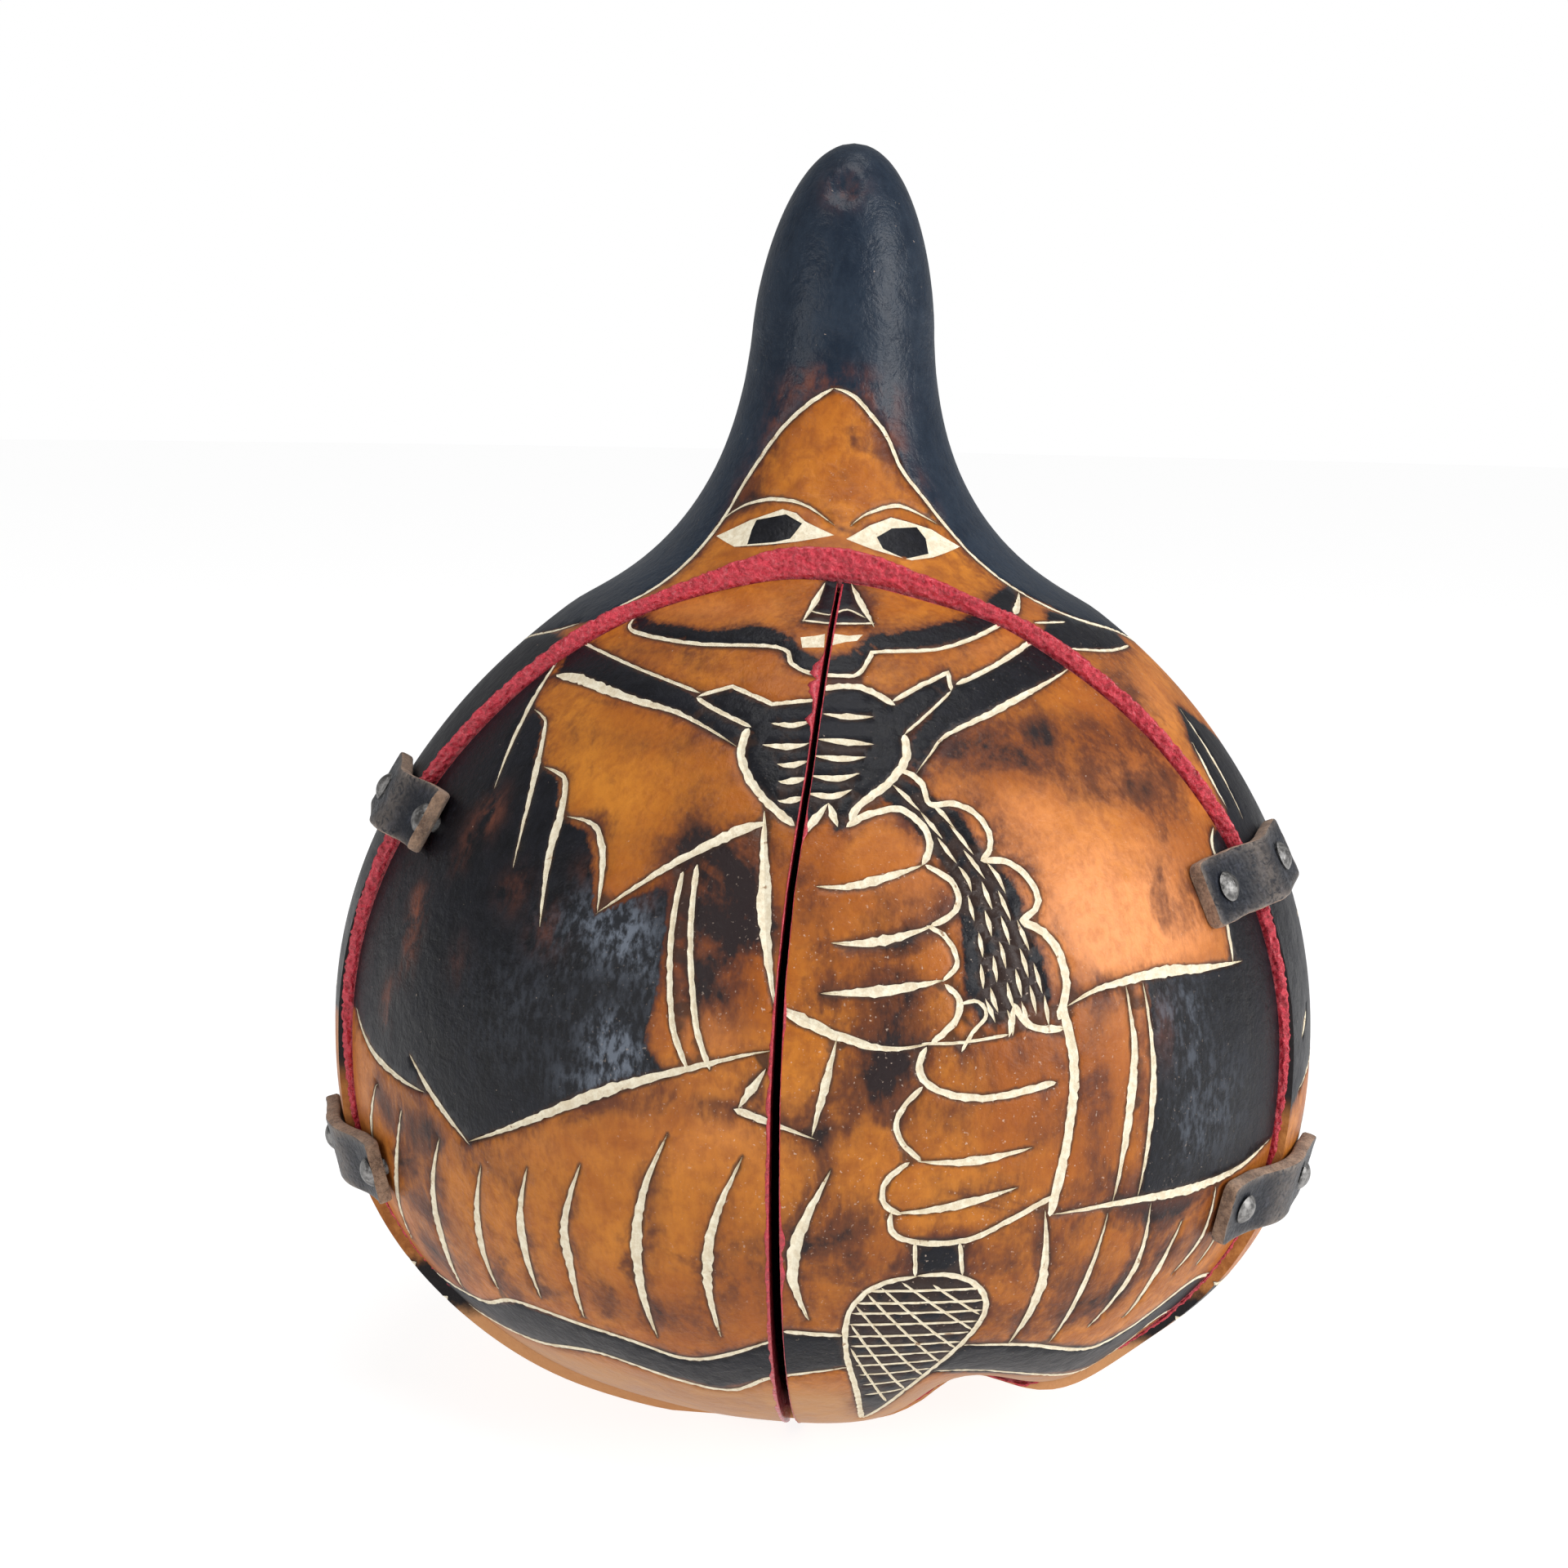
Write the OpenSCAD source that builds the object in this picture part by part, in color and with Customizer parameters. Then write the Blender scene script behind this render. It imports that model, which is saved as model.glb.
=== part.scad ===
// Pear-shaped gourd box. The front of the gourd is sawn out and split into two
// doors, which swing on four leather strap hinges held by domed rivets.
// Millimetres, +Z up. The origin is the centre of the flat foot, and the doors face -Y.

/* [Gourd] */
// Diameter of the belly at its widest
body_d = 150; // [146:1:154]
// Height of the widest level above the foot
widest_z = 57; // [55:1:59]
// Total height with the neck
total_h = 191; // [188:1:194]
// Radius of the flat foot
foot_r = 16; // [14:0.5:18]
// Radius where the shoulder starts to hollow into the neck
waist_r = 40.5; // [39:0.5:42]
// Height where the shoulder starts to hollow into the neck
waist_z = 120; // [119:0.5:121]
// Radius of the neck
neck_r = 13.6; // [13:0.2:15]
// Height at which the neck has that radius
neck_z = 163; // [160:1:165]
// Thickness of the gourd wall
wall = 4.5; // [4:0.25:5]

/* [Doors] */
// Distance of the sawn front plane from the upright axis
cut_y = 25.3; // [23:0.1:27]
// Width that the saw took away round the doors
kerf = 5.2; // [4:0.2:6]
// Gap between the shut doors and the body
door_gap = 0.3; // [0.3:0.05:0.5]
// Gap between the two doors at the top
slit_top = 0.6; // [0.6:0.1:1.2]
// Gap between the two doors at the bottom
slit_bottom = 2; // [1.4:0.1:2.4]

/* [Strap hinges] */
// Height of the left upper strap
left_upper_z = 91; // [89:0.5:92]
// Height of the right upper strap
right_upper_z = 85; // [83:0.5:87]
// Height of both lower straps
lower_z = 39; // [37:0.5:41]
// Width of a strap
strap_w = 9.6; // [9:0.2:10]
// Thickness of the leather
strap_t = 2.3; // [2:0.1:2.5]
// Length of a strap from the fold to one end
half_l = 14; // [13:0.5:15]
// Distance of a rivet from the fold
rivet_at = 7.8; // [7.4:0.2:8.2]
// Rise of the upper straps towards the back, in degrees
upper_turn = 7; // [4:1:9]
// Rise of the lower straps towards the back, in degrees
lower_turn = 3; // [0:1:4]
// Distance of the hinge line outside the leather at the fold
hinge_out = 0.9; // [0.8:0.1:1.2]

/* [Rivets] */
// Radius of the shank
shank_r = 1.25; // [1.1:0.05:1.4]
// Radius of the domed head
head_r = 2.2; // [2:0.1:2.4]
// Height of the domed head
head_h = 1.1; // [0.9:0.1:1.3]
// Outer radius of the burr on the inside of the wall
burr_r = 3; // [2.8:0.1:3.2]
// Thickness of the burr
burr_t = 0.8; // [0.6:0.1:1]

/* [Hidden] */
$fn = 96;

// Belly radius, and the power of its superelliptic lower half
belly_r = body_d / 2;
belly_power = 2.4;
// Height of the whole lower half, of which the flat foot cuts off the last bit
belly_h = widest_z / pow(1 - pow(foot_r / belly_r, belly_power), 1 / belly_power);
// Parameter angle of the lower half at the foot's edge
foot_angle = asin(pow(foot_r / belly_r, belly_power / 2));
// Steps along each stretch of the outline
belly_steps = 16;
shoulder_steps = 14;
neck_steps = 11;
tip_steps = 10;
// Stretches of the outline above the belly, each a cubic curve of [radius, height]
shoulder = [[belly_r, widest_z], [belly_r, widest_z + 35], [waist_r + 8.5, waist_z - 6.5], [waist_r, waist_z]];
neck = [[waist_r, waist_z], [waist_r - 5.2, waist_z + 4], [neck_r + 1.8, neck_z - 33.5], [neck_r, neck_z]];
tip = [[neck_r, neck_z], [neck_r - 0.5, neck_z + 9.3], [8.8, total_h], [0, total_h]];

// How far the doors sit back from where they were sawn out
door_shift = kerf - door_gap;
// Course of the saw cut between the doors: [height, how far it strays to +X]
slit_course = [[-1, -0.8], [60, -1], [75, -0.7], [87, 0], [102, 1.5], [124, 2.9], [140, 3.9]];
// Front plane of the body, and back plane of the shut doors
rim_y = -cut_y;
door_y = rim_y - door_gap;
// Half the length of a block that is larger than the gourd
far = 250;
// Clearance of a rivet shank in its hole, on the radius
shank_gap = 0.05;
// Clearance of the straps at the fold, and of the burrs from the curved wall
fold_gap = 0.15;
burr_gap = 0.2;
// Radius of a strap's cut corners
corner_r = 1.2;
// Angle outside the fold that the rear leather leaves free for the open door
sweep_free = 32;

function cubic(p, t) =
  pow(1 - t, 3) * p[0] + 3 * pow(1 - t, 2) * t * p[1] + 3 * (1 - t) * t * t * p[2] + pow(t, 3) * p[3];
function stretch(p, steps) = [for (i = [1:steps]) cubic(p, i / steps)];
function belly_point(a) =
  [belly_r * pow(sin(a), 2 / belly_power), widest_z - belly_h * pow(cos(a), 2 / belly_power)];

// Outline of the outside, from the edge of the foot to the tip
outside = concat(
  [for (i = [0:belly_steps]) belly_point(foot_angle + (90 - foot_angle) * i / belly_steps)],
  stretch(shoulder, shoulder_steps), stretch(neck, neck_steps), stretch(tip, tip_steps));
last = len(outside) - 1;
function along(i) = outside[min(i + 1, last)] - outside[max(i - 1, 0)];
function inward(v) = [-v[1], v[0]] / norm(v);
function to_axis(p) = [max(p[0], 0), p[1]];
// Outline of the inside, one wall thickness in
inside = [for (i = [0:last]) i == last ? [0, total_h - wall] : to_axis(outside[i] + wall * inward(along(i)))];

// Radius of the outside at a height below the tip, by halving the shoulder's parameter
function shoulder_t(z, low = 0, high = 1, n = 22) =
  n == 0 ? (low + high) / 2
  : cubic(shoulder, (low + high) / 2)[1] < z ? shoulder_t(z, (low + high) / 2, high, n - 1)
  : shoulder_t(z, low, (low + high) / 2, n - 1);
function radius_at(z) =
  z < widest_z ? belly_r * pow(1 - pow((widest_z - z) / belly_h, belly_power), 1 / belly_power)
  : cubic(shoulder, shoulder_t(z))[0];
// Angle at which the outside faces up at a height
function facing_up(z) = -atan(radius_at(z + 0.5) - radius_at(z - 0.5));
// Distance from the middle at which the body's sawn rim meets the outside
function rim_x(z) = sqrt(pow(radius_at(z), 2) - pow(cut_y, 2));

// Strap of one side: its height and its rise towards the back
function strap_z(side, level) = level == "lower" ? lower_z : side == "left" ? left_upper_z : right_upper_z;
function strap_turn(level) = level == "lower" ? lower_turn : upper_turn;
// The hinge line runs just outside the leather of both straps, through [x, z] points
function leather_x(z) = strap_t * radius_at(z) / (rim_x(z) * cos(facing_up(z)));
function fold_point(side, level) =
  let (z = strap_z(side, level)) [rim_x(z) + leather_x(z) + hinge_out, z];
function hinge_lean(side) =
  let (p = fold_point(side, "lower"), q = fold_point(side, "upper")) atan((p[0] - q[0]) / (q[1] - p[1]));

// Mirrors its children to the left side
module on_side(side) {
  if (side == "left") mirror([1, 0, 0]) children();
  else children();
}

// Half the gap between the doors at a height
function slit_half(z) = (slit_bottom + (slit_top - slit_bottom) * (z + 1) / (waist_z + 21)) / 2;
// Outline of all that one door leaves free: the gap and the other door's side
function slit_side(sign) =
  concat(
    [for (p = slit_course) [p[1] + sign * slit_half(p[0]), p[0]]],
    [[-sign * far, slit_course[len(slit_course) - 1][0]], [-sign * far, slit_course[0][0]]]
  );

// Puts its children on the outside of the right half, local Z outwards and local X to the back
module on_surface(z, y, turn) {
  r = radius_at(z);
  translate([sqrt(r * r - y * y), y, z])
    rotate([0, -facing_up(z), asin(y / r)])
      rotate(120, [1, 1, 1])
        rotate([0, 0, turn])
          children();
}

// Puts its children at a rivet: the rear one on the body, the front one on the door
module at_rivet(side, level, end) {
  turn = strap_turn(level);
  rise = rivet_at * sin(turn);
  z = strap_z(side, level);
  on_side(side)
    if (end == "rear") on_surface(z + rise, rim_y + rivet_at * cos(turn), turn) children();
    else translate([0, door_shift, 0]) on_surface(z - rise, rim_y - kerf - rivet_at * cos(turn), turn) children();
}

// Space along the hinge line that the leather of one end leaves free
module fold_space(side, end) {
  p = fold_point(side, "lower");
  rear = [[-far, fold_gap], [0, fold_gap], [far, far * tan(sweep_free) + fold_gap], [far, -far], [-far, -far]];
  front = [[-far, -fold_gap], [-fold_gap, -fold_gap], [-fold_gap, -far], [far, -far], [far, far], [-far, far]];
  on_side(side)
    translate([p[0], door_y, p[1]])
      rotate([0, -hinge_lean(side), 0])
        linear_extrude(height = far, center = true)
          polygon(end == "rear" ? rear : front);
}

module gourd() {
  rotate_extrude() polygon(concat([[0, 0]], outside, [for (i = [last:-1:0]) inside[i]], [[0, wall]]));
}

module rivet_hole(side, level, end) {
  at_rivet(side, level, end) cylinder(h = 4 * wall, r = shank_r + shank_gap, center = true);
}

module body_shell() {
  color("saddlebrown")
    difference() {
      gourd();
      translate([-far, rim_y - far, -far]) cube([2 * far, far, 2 * far]);
      for (side = ["left", "right"], level = ["lower", "upper"]) rivet_hole(side, level, "rear");
    }
}

// One sawn-out door: the front of the gourd up to the slit, set back into the opening
module door(side) {
  color("peru")
    difference() {
      translate([0, door_shift, 0])
        intersection() {
          gourd();
          translate([-far, rim_y - kerf - far, -far]) cube([2 * far, far, 2 * far]);
        }
      rotate([90, 0, 0]) linear_extrude(height = far) polygon(slit_side(side == "left" ? -1 : 1));
      for (level = ["lower", "upper"]) rivet_hole(side, level, "front");
    }
}

// One half of a strap, from the fold to its end, lying against the gourd
module strap(side, level, end) {
  color("midnightblue")
    difference() {
      at_rivet(side, level, end)
        linear_extrude(height = strap_t)
          difference() {
            translate([end == "rear" ? half_l - rivet_at - 2 * half_l : rivet_at - half_l, -strap_w / 2])
              rounded_strip(2 * half_l, strap_w);
            circle(r = shank_r + shank_gap);
          }
      fold_space(side, end);
    }
}

// Strip with round corners
module rounded_strip(length, width) {
  translate([corner_r, 0]) square([length - 2 * corner_r, width]);
  translate([0, corner_r]) square([length, width - 2 * corner_r]);
  for (x = [corner_r, length - corner_r], y = [corner_r, width - corner_r]) translate([x, y]) circle(r = corner_r);
}

// Dome of a given base radius and height, standing on the local XY plane
module dome(r, h) {
  ball_r = (r * r + h * h) / (2 * h);
  intersection() {
    translate([0, 0, h - ball_r]) sphere(r = ball_r);
    cylinder(h = h, r = r + 1);
  }
}

// Rivet through leather and wall, its tail peened over the burr
module rivet(side, level, end) {
  tail_z = -wall - burr_gap - burr_t;
  color("dimgray")
    at_rivet(side, level, end) {
      translate([0, 0, strap_t]) dome(head_r, head_h);
      translate([0, 0, tail_z]) cylinder(h = strap_t - tail_z, r = shank_r);
      translate([0, 0, tail_z]) mirror([0, 0, 1]) dome(0.85 * head_r, 0.7 * head_h);
    }
}

// Small washer on the inside of the wall
module burr(side, level, end) {
  color("silver")
    at_rivet(side, level, end)
      translate([0, 0, -wall - burr_gap - burr_t])
        difference() {
          cylinder(h = burr_t, r = burr_r);
          translate([0, 0, -1]) cylinder(h = burr_t + 2, r = shank_r + shank_gap);
        }
}

body_shell();
door("left");  // left_door
door("right");  // right_door
strap("left", "upper", "rear");  // left_upper_strap_rear
strap("left", "upper", "front");  // left_upper_strap_front
strap("left", "lower", "rear");  // left_lower_strap_rear
strap("left", "lower", "front");  // left_lower_strap_front
strap("right", "upper", "rear");  // right_upper_strap_rear
strap("right", "upper", "front");  // right_upper_strap_front
strap("right", "lower", "rear");  // right_lower_strap_rear
strap("right", "lower", "front");  // right_lower_strap_front
rivet("left", "upper", "rear");  // left_upper_rivet_rear
rivet("left", "upper", "front");  // left_upper_rivet_front
rivet("left", "lower", "rear");  // left_lower_rivet_rear
rivet("left", "lower", "front");  // left_lower_rivet_front
rivet("right", "upper", "rear");  // right_upper_rivet_rear
rivet("right", "upper", "front");  // right_upper_rivet_front
rivet("right", "lower", "rear");  // right_lower_rivet_rear
rivet("right", "lower", "front");  // right_lower_rivet_front
burr("left", "upper", "rear");  // left_upper_burr_rear
burr("left", "upper", "front");  // left_upper_burr_front
burr("left", "lower", "rear");  // left_lower_burr_rear
burr("left", "lower", "front");  // left_lower_burr_front
burr("right", "upper", "rear");  // right_upper_burr_rear
burr("right", "upper", "front");  // right_upper_burr_front
burr("right", "lower", "rear");  // right_lower_burr_rear
burr("right", "lower", "front");  // right_lower_burr_front
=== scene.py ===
"""Looks of the carved gourd box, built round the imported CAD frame.

Lengths are in millimetres and angles in degrees until an object is made, which is in metres.
A place on the gourd is (turn, height): turn from the front towards +X, height above the foot.
"""

import math

import bmesh
import bpy
import numpy as np
from mathutils import Matrix, Vector, noise
from mathutils.geometry import delaunay_2d_cdt


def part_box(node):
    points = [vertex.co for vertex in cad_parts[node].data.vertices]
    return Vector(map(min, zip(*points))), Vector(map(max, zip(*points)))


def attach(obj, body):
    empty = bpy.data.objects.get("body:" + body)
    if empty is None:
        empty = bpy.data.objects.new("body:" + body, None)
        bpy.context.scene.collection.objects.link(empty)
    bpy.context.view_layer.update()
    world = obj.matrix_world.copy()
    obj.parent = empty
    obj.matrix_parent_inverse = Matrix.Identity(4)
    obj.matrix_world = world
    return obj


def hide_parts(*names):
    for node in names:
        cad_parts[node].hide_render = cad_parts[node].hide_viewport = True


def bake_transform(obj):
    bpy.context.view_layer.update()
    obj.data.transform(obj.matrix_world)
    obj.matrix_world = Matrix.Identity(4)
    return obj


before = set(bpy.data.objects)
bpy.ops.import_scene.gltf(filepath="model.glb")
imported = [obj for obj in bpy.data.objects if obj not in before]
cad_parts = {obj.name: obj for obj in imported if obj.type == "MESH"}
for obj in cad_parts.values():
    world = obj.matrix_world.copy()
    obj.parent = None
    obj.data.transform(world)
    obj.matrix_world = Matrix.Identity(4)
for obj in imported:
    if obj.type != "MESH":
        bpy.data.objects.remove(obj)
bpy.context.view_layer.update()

MM = 0.001
shell_low, shell_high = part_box("body_shell")
BELLY_R = shell_high.x / MM
TOTAL_H = shell_high.z / MM
RIM_Y = shell_low.y / MM
DOOR_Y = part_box("left_door")[1].y / MM
# The body ends at RIM_Y. The saw took KERF, so a door is cut off at CUT_Y and set back by DOOR_SHIFT
KERF = 5.2
CUT_Y = RIM_Y - KERF
DOOR_SHIFT = DOOR_Y - CUT_Y
WALL = 4.5
FOOT_R, WIDEST_Z, BELLY_POWER = 16.0, 57.0, 2.4
# The slit between the doors: (height, half its width) and (height, where its middle lies)
SLIT_HALF = ((-1.0, 1.0), (140.0, 0.3))
SLIT_COURSE = ((-1, -0.8), (60, -1.0), (75, -0.7), (87, 0.0), (102, 1.5), (124, 2.9), (140, 3.9))
# The middle of the opening, from which places on the sawn edge are measured
CENTRE_Z = 62.0
# How far the neck's tip leans, and where the lean starts
LEAN, LEAN_FROM, LEAN_OVER = np.array([2.1, -0.2, -1.6]), 95, 95
OUTLINE_STEP = 0.25
HINGE_TURN, HINGE_Z = 72, 62
# Dents under the belly: (depth, place across, half width, height they reach)
DENTS = ((7.4, 25.5, 9, 13), (2.3, 54, 12, 16))
# The skin fills out near the foot: by how much at most, how fast it begins, and how high it reaches
SAG, SAG_SLOPE, SAG_REACH = 2.2, 0.85, 12
SCAR_TURN, SCAR_Z = -3, 183.6
DOORS = {"left_door": -1, "right_door": 1}


# ---------------------------------------------------------------- the gourd's outline
def cubic(points, count):
    """Points along a Bezier curve, without its start."""
    t = np.linspace(0, 1, count + 1)[1:, None]
    p = [np.array(q, float) for q in points]
    return (1 - t) ** 3 * p[0] + 3 * (1 - t) ** 2 * t * p[1] + 3 * (1 - t) * t * t * p[2] + t**3 * p[3]


def outline():
    """Dense (length along the outline, radius, height) from the edge of the foot to the tip."""
    power = BELLY_POWER / 2
    start = math.asin((FOOT_R / BELLY_R) ** power)
    half_h = WIDEST_Z / (1 - (FOOT_R / BELLY_R) ** BELLY_POWER) ** (1 / BELLY_POWER)
    a = np.linspace(start, math.pi / 2, 400)
    belly = np.stack([BELLY_R * np.sin(a) ** (1 / power), WIDEST_Z - half_h * np.cos(a).clip(0) ** (1 / power)], 1)
    shoulder = cubic([(BELLY_R, WIDEST_Z), (BELLY_R, 92), (49, 113.5), (40.5, 120)], 300)
    neck = cubic([(40.5, 120), (35.3, 124), (15.4, 129.5), (13.6, 163)], 300)
    tip = cubic([(13.6, 163), (13.1, 172.3), (8.8, TOTAL_H), (0, TOTAL_H)], 300)
    p = np.concatenate([belly, shoulder, neck, tip])
    s = np.concatenate([[0], np.cumsum(np.hypot(*np.diff(p, axis=0).T))])
    even = np.arange(0, s[-1], OUTLINE_STEP)
    return even, np.interp(even, s, p[:, 0]), np.interp(even, s, p[:, 1])


OUT_S, OUT_R, OUT_Z = outline()
_dr, _dz = np.gradient(OUT_R), np.gradient(OUT_Z)
OUT_NR, OUT_NZ = _dz / np.hypot(_dr, _dz), -_dr / np.hypot(_dr, _dz)
# In the (turn, width) plane small shapes keep their form, so a mesh made there stays even
OUT_W = np.concatenate([[0], np.cumsum(0.5 * OUTLINE_STEP * BELLY_R * (1 / OUT_R[1:] + 1 / OUT_R[:-1]))])
TIP_CUT_S = OUT_S[np.nonzero(OUT_R > 1.0)[0][-1]]
# Millimetres to one degree round the tip, where the scar is
SCAR_ARC = OUT_R[np.searchsorted(OUT_Z, 183)] / 57.3


def unit(v):
    return v / np.linalg.norm(v, axis=-1, keepdims=True)


def hump(x, at, width, power=2):
    """A soft hump that is 1 at a place and fades out over a width."""
    return np.exp(-(((x - at) / width) ** power))


def s_at_z(z):
    return np.interp(z, OUT_Z, OUT_S)


def flat(turn, z):
    """(turn, height) to the even plane."""
    return np.stack([np.radians(turn) * BELLY_R, np.interp(s_at_z(z), OUT_S, OUT_W)], -1)


def grow(turn, z):
    """The uneven growth of a natural gourd, as height along the normal. Nothing at the hinges."""
    t = np.radians(turn)
    waves = (
        0.45 * np.sin(2 * t + 0.6) * np.sin(z / 38)
        + 0.25 * np.sin(3 * t - 1.1 + z / 30)
        + 0.14 * np.sin(7 * t + z / 17 + 2)
        + 0.08 * np.sin(13 * t - z / 9) * np.cos(z / 7 + 3 * t)
    )
    at_hinge = hump(np.abs(turn), HINGE_TURN, 13) * hump(z, HINGE_Z, 45, 4)
    at_foot = np.clip(z / 6, 0, 1)
    radius = np.interp(z, OUT_Z, OUT_R)
    # The dents run from front to back under the belly, so that door and body share them
    across = radius * np.sin(t)
    dent = -sum(depth * np.exp(-(((across - at) / half) ** 2) - ((z / reach) ** 2)) for depth, at, half, reach in DENTS)
    dent *= np.clip((radius - 15) / 8, 0, 1) * np.clip(1.6 * np.cos(t) + 0.3, 0, 1)
    sag = np.minimum(SAG, SAG_SLOPE * z) * np.exp(-((z / SAG_REACH) ** 2))
    scar = -0.9 * np.exp(-(((turn - SCAR_TURN) * SCAR_ARC) ** 2 + (z - SCAR_Z) ** 2) / 3.0)
    lip = 0.35 * hump(np.hypot((turn - SCAR_TURN) * 0.15, z - SCAR_Z), 3.2, 1.0) * (z > 170)
    slim = np.clip(radius / 40 - 0.2, 0, 1)
    return waves * slim * (1 - at_hinge) * at_foot + dent + sag + scar + lip


def leaned(z):
    """How far the neck has leant at a height, in x, y and z."""
    return LEAN * np.clip((z - LEAN_FROM) / LEAN_OVER, 0, 1)[:, None] ** 2


def lean(p):
    """The neck leans a little to the right."""
    return p + leaned(p[:, 2])


def on_gourd(turn, s, depth=0.0, wall=0.0):
    """Points on the outside, depth below it, with the normals there."""
    t = np.radians(turn)
    r, z = np.interp(s, OUT_S, OUT_R), np.interp(s, OUT_S, OUT_Z)
    nr, nz = np.interp(s, OUT_S, OUT_NR), np.interp(s, OUT_S, OUT_NZ)
    n = np.stack([nr * np.sin(t), -nr * np.cos(t), nz], -1)
    p = np.stack([r * np.sin(t), -r * np.cos(t), z + 0 * t], -1) + n * (grow(turn, z) - depth - wall)[..., None]
    return lean(p), n


def place_of(p):
    """(turn, height) of points on the gourd."""
    p = p - leaned(p[:, 2])
    return np.degrees(np.arctan2(p[:, 0], -p[:, 1])), p[:, 2]


def slit_x(side, z):
    """Where a door's edge at the slit lies at a height. With side 0, the middle of the slit."""
    return np.interp(z, *zip(*SLIT_COURSE)) + side * np.interp(z, *zip(*SLIT_HALF))


# ---------------------------------------------------------------- the carving
# Each cut is (width, taper, bend, points). Taper 1 is a gouge, thick in the middle; 0.3 an even line;
# 2 starts thick and thins out. Bend 1 is a smooth curve through the points, 0 goes straight between them.
GOUGE, LINE, WEDGE = 1.0, 0.3, 2.0
HOOD = [
    (0.9, LINE, 1, [(0, 154), (-14, 151.5), (-29, 147), (-40, 140), (-43, 133), (-46, 125), (-52, 119.5)]),
    (0.9, LINE, 1, [(0, 154), (11, 153), (22, 150), (30, 147), (36, 142), (44, 138), (51, 133), (55, 129),
                    (60, 125), (68, 121), (83, 118), (104, 114), (128, 110), (152, 107.5), (179.4, 106.5)]),
    (0.6, LINE, 1, [(-57, 118.7), (-65, 117.1), (-86, 114.5), (-108, 111), (-130, 108.5), (-154, 107),
                    (-179.4, 106.5)]),
]
BROWS = [
    (0.75, GOUGE, 1, [(-44, 133.6), (-36, 136.2), (-22, 137.5), (-8, 136.8), (4, 134.2)]),
    (0.75, GOUGE, 1, [(10, 134.2), (17, 135.9), (31, 136.9), (46, 134.3)]),
]
NOSE = [
    (1.1, GOUGE, 0, [(1.4, 126), (-2.4, 120.8)]),
    (1.4, GOUGE, 0, [(8.4, 126), (12.4, 120.6)]),
    (0.6, LINE, 0, [(-2.6, 121), (4, 120.8), (12.6, 121)]),
    (0.5, LINE, 1, [(-1.6, 122.3), (3, 121.9), (7, 122.6), (11, 121.6)]),
]
CHIN = [
    (1.0, LINE, 1, [(-41.5, 120.3), (-40.5, 118.8), (-35, 118), (-22, 117.4), (-6, 117.4), (-3, 115.4),
                    (0.5, 114.3), (5, 114.2), (8.5, 114.5), (11, 116.9), (12.5, 117.4), (23, 117.7),
                    (31, 118.7), (40, 120.3), (49, 121.8)]),
    (1.2, WEDGE, 0, [(49, 122), (60, 124.6)]),
    (0.6, LINE, 0, [(52, 120.8), (63, 120.5)]),
    (0.7, LINE, 1, [(56, 117.2), (68, 116.3), (81, 116)]),
]
COLLAR = [
    (0.7, LINE, 1, [(-50.5, 116.2), (-41, 115.2), (-32, 113.9), (-24, 112.6), (-17, 111.2)]),
    (1.9, WEDGE, 1, [(-48.5, 111.6), (-42, 111.6), (-36, 110.9), (-27, 109.7), (-20, 108.7), (-14, 106.9),
                     (-8.6, 104.6)]),
    (1.2, LINE, 1, [(25, 113.2), (34, 115.4), (44, 117.8), (52, 119.5)]),
    (1.2, GOUGE, 1, [(15.6, 102), (18, 104.4), (21, 106.8), (29, 109.4), (38, 111.8), (51, 114.6)]),
]
KNOT = [
    (1.0, LINE, 0, [(-17.4, 110.8), (-12, 112.2), (-5, 110.2), (1.6, 111)]),
    (1.0, LINE, 0, [(-17.4, 110.6), (-13, 109), (-7.4, 107.2)]),
    (1.5, LINE, 1, [(2.6, 112.4), (6, 112.9), (9.6, 112.6), (14, 110.6)]),
    (1.1, LINE, 0, [(13.6, 111.1), (19, 113.2), (24.4, 114.8), (23.8, 112.4)]),
    (0.6, LINE, 0, [(23.8, 112.4), (19, 109.6), (14.8, 107)]),
    (1.7, LINE, 1, [(-7.8, 107.2), (-8.2, 104), (-6.2, 100.6), (-3.4, 97.8), (0, 95.2)]),
    (1.7, LINE, 1, [(14.8, 107), (14.5, 104), (12, 101), (7.8, 97.9), (6.7, 95.8)]),
    (1.4, GOUGE, 0, [(0.8, 93.8), (4, 98.2)]),
    (1.4, GOUGE, 0, [(4, 98.2), (5.2, 95.2)]),
] + [(1.25, GOUGE, 1, [(t, z), (-1.4, z - 0.1), (1.2, z + 0.5)]) for t, z in
     [(-4.6, 107.8), (-5.4, 105.1), (-3, 102.8), (-2.6, 100.7), (-2.4, 98.3)]] + [
    (1.25, GOUGE, 1, [(t, z), (0.5 * (t + u) + 0.4, z - 0.3), (u, z + rise)]) for t, u, z, rise in
    [(2.8, 10.4, 109.3, -0.2), (2.2, 10.2, 106.1, -0.5), (1.8, 9, 104, 0), (1.6, 8, 101.5, 0.5), (1.2, 7, 99.3, 0.6)]]
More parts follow.
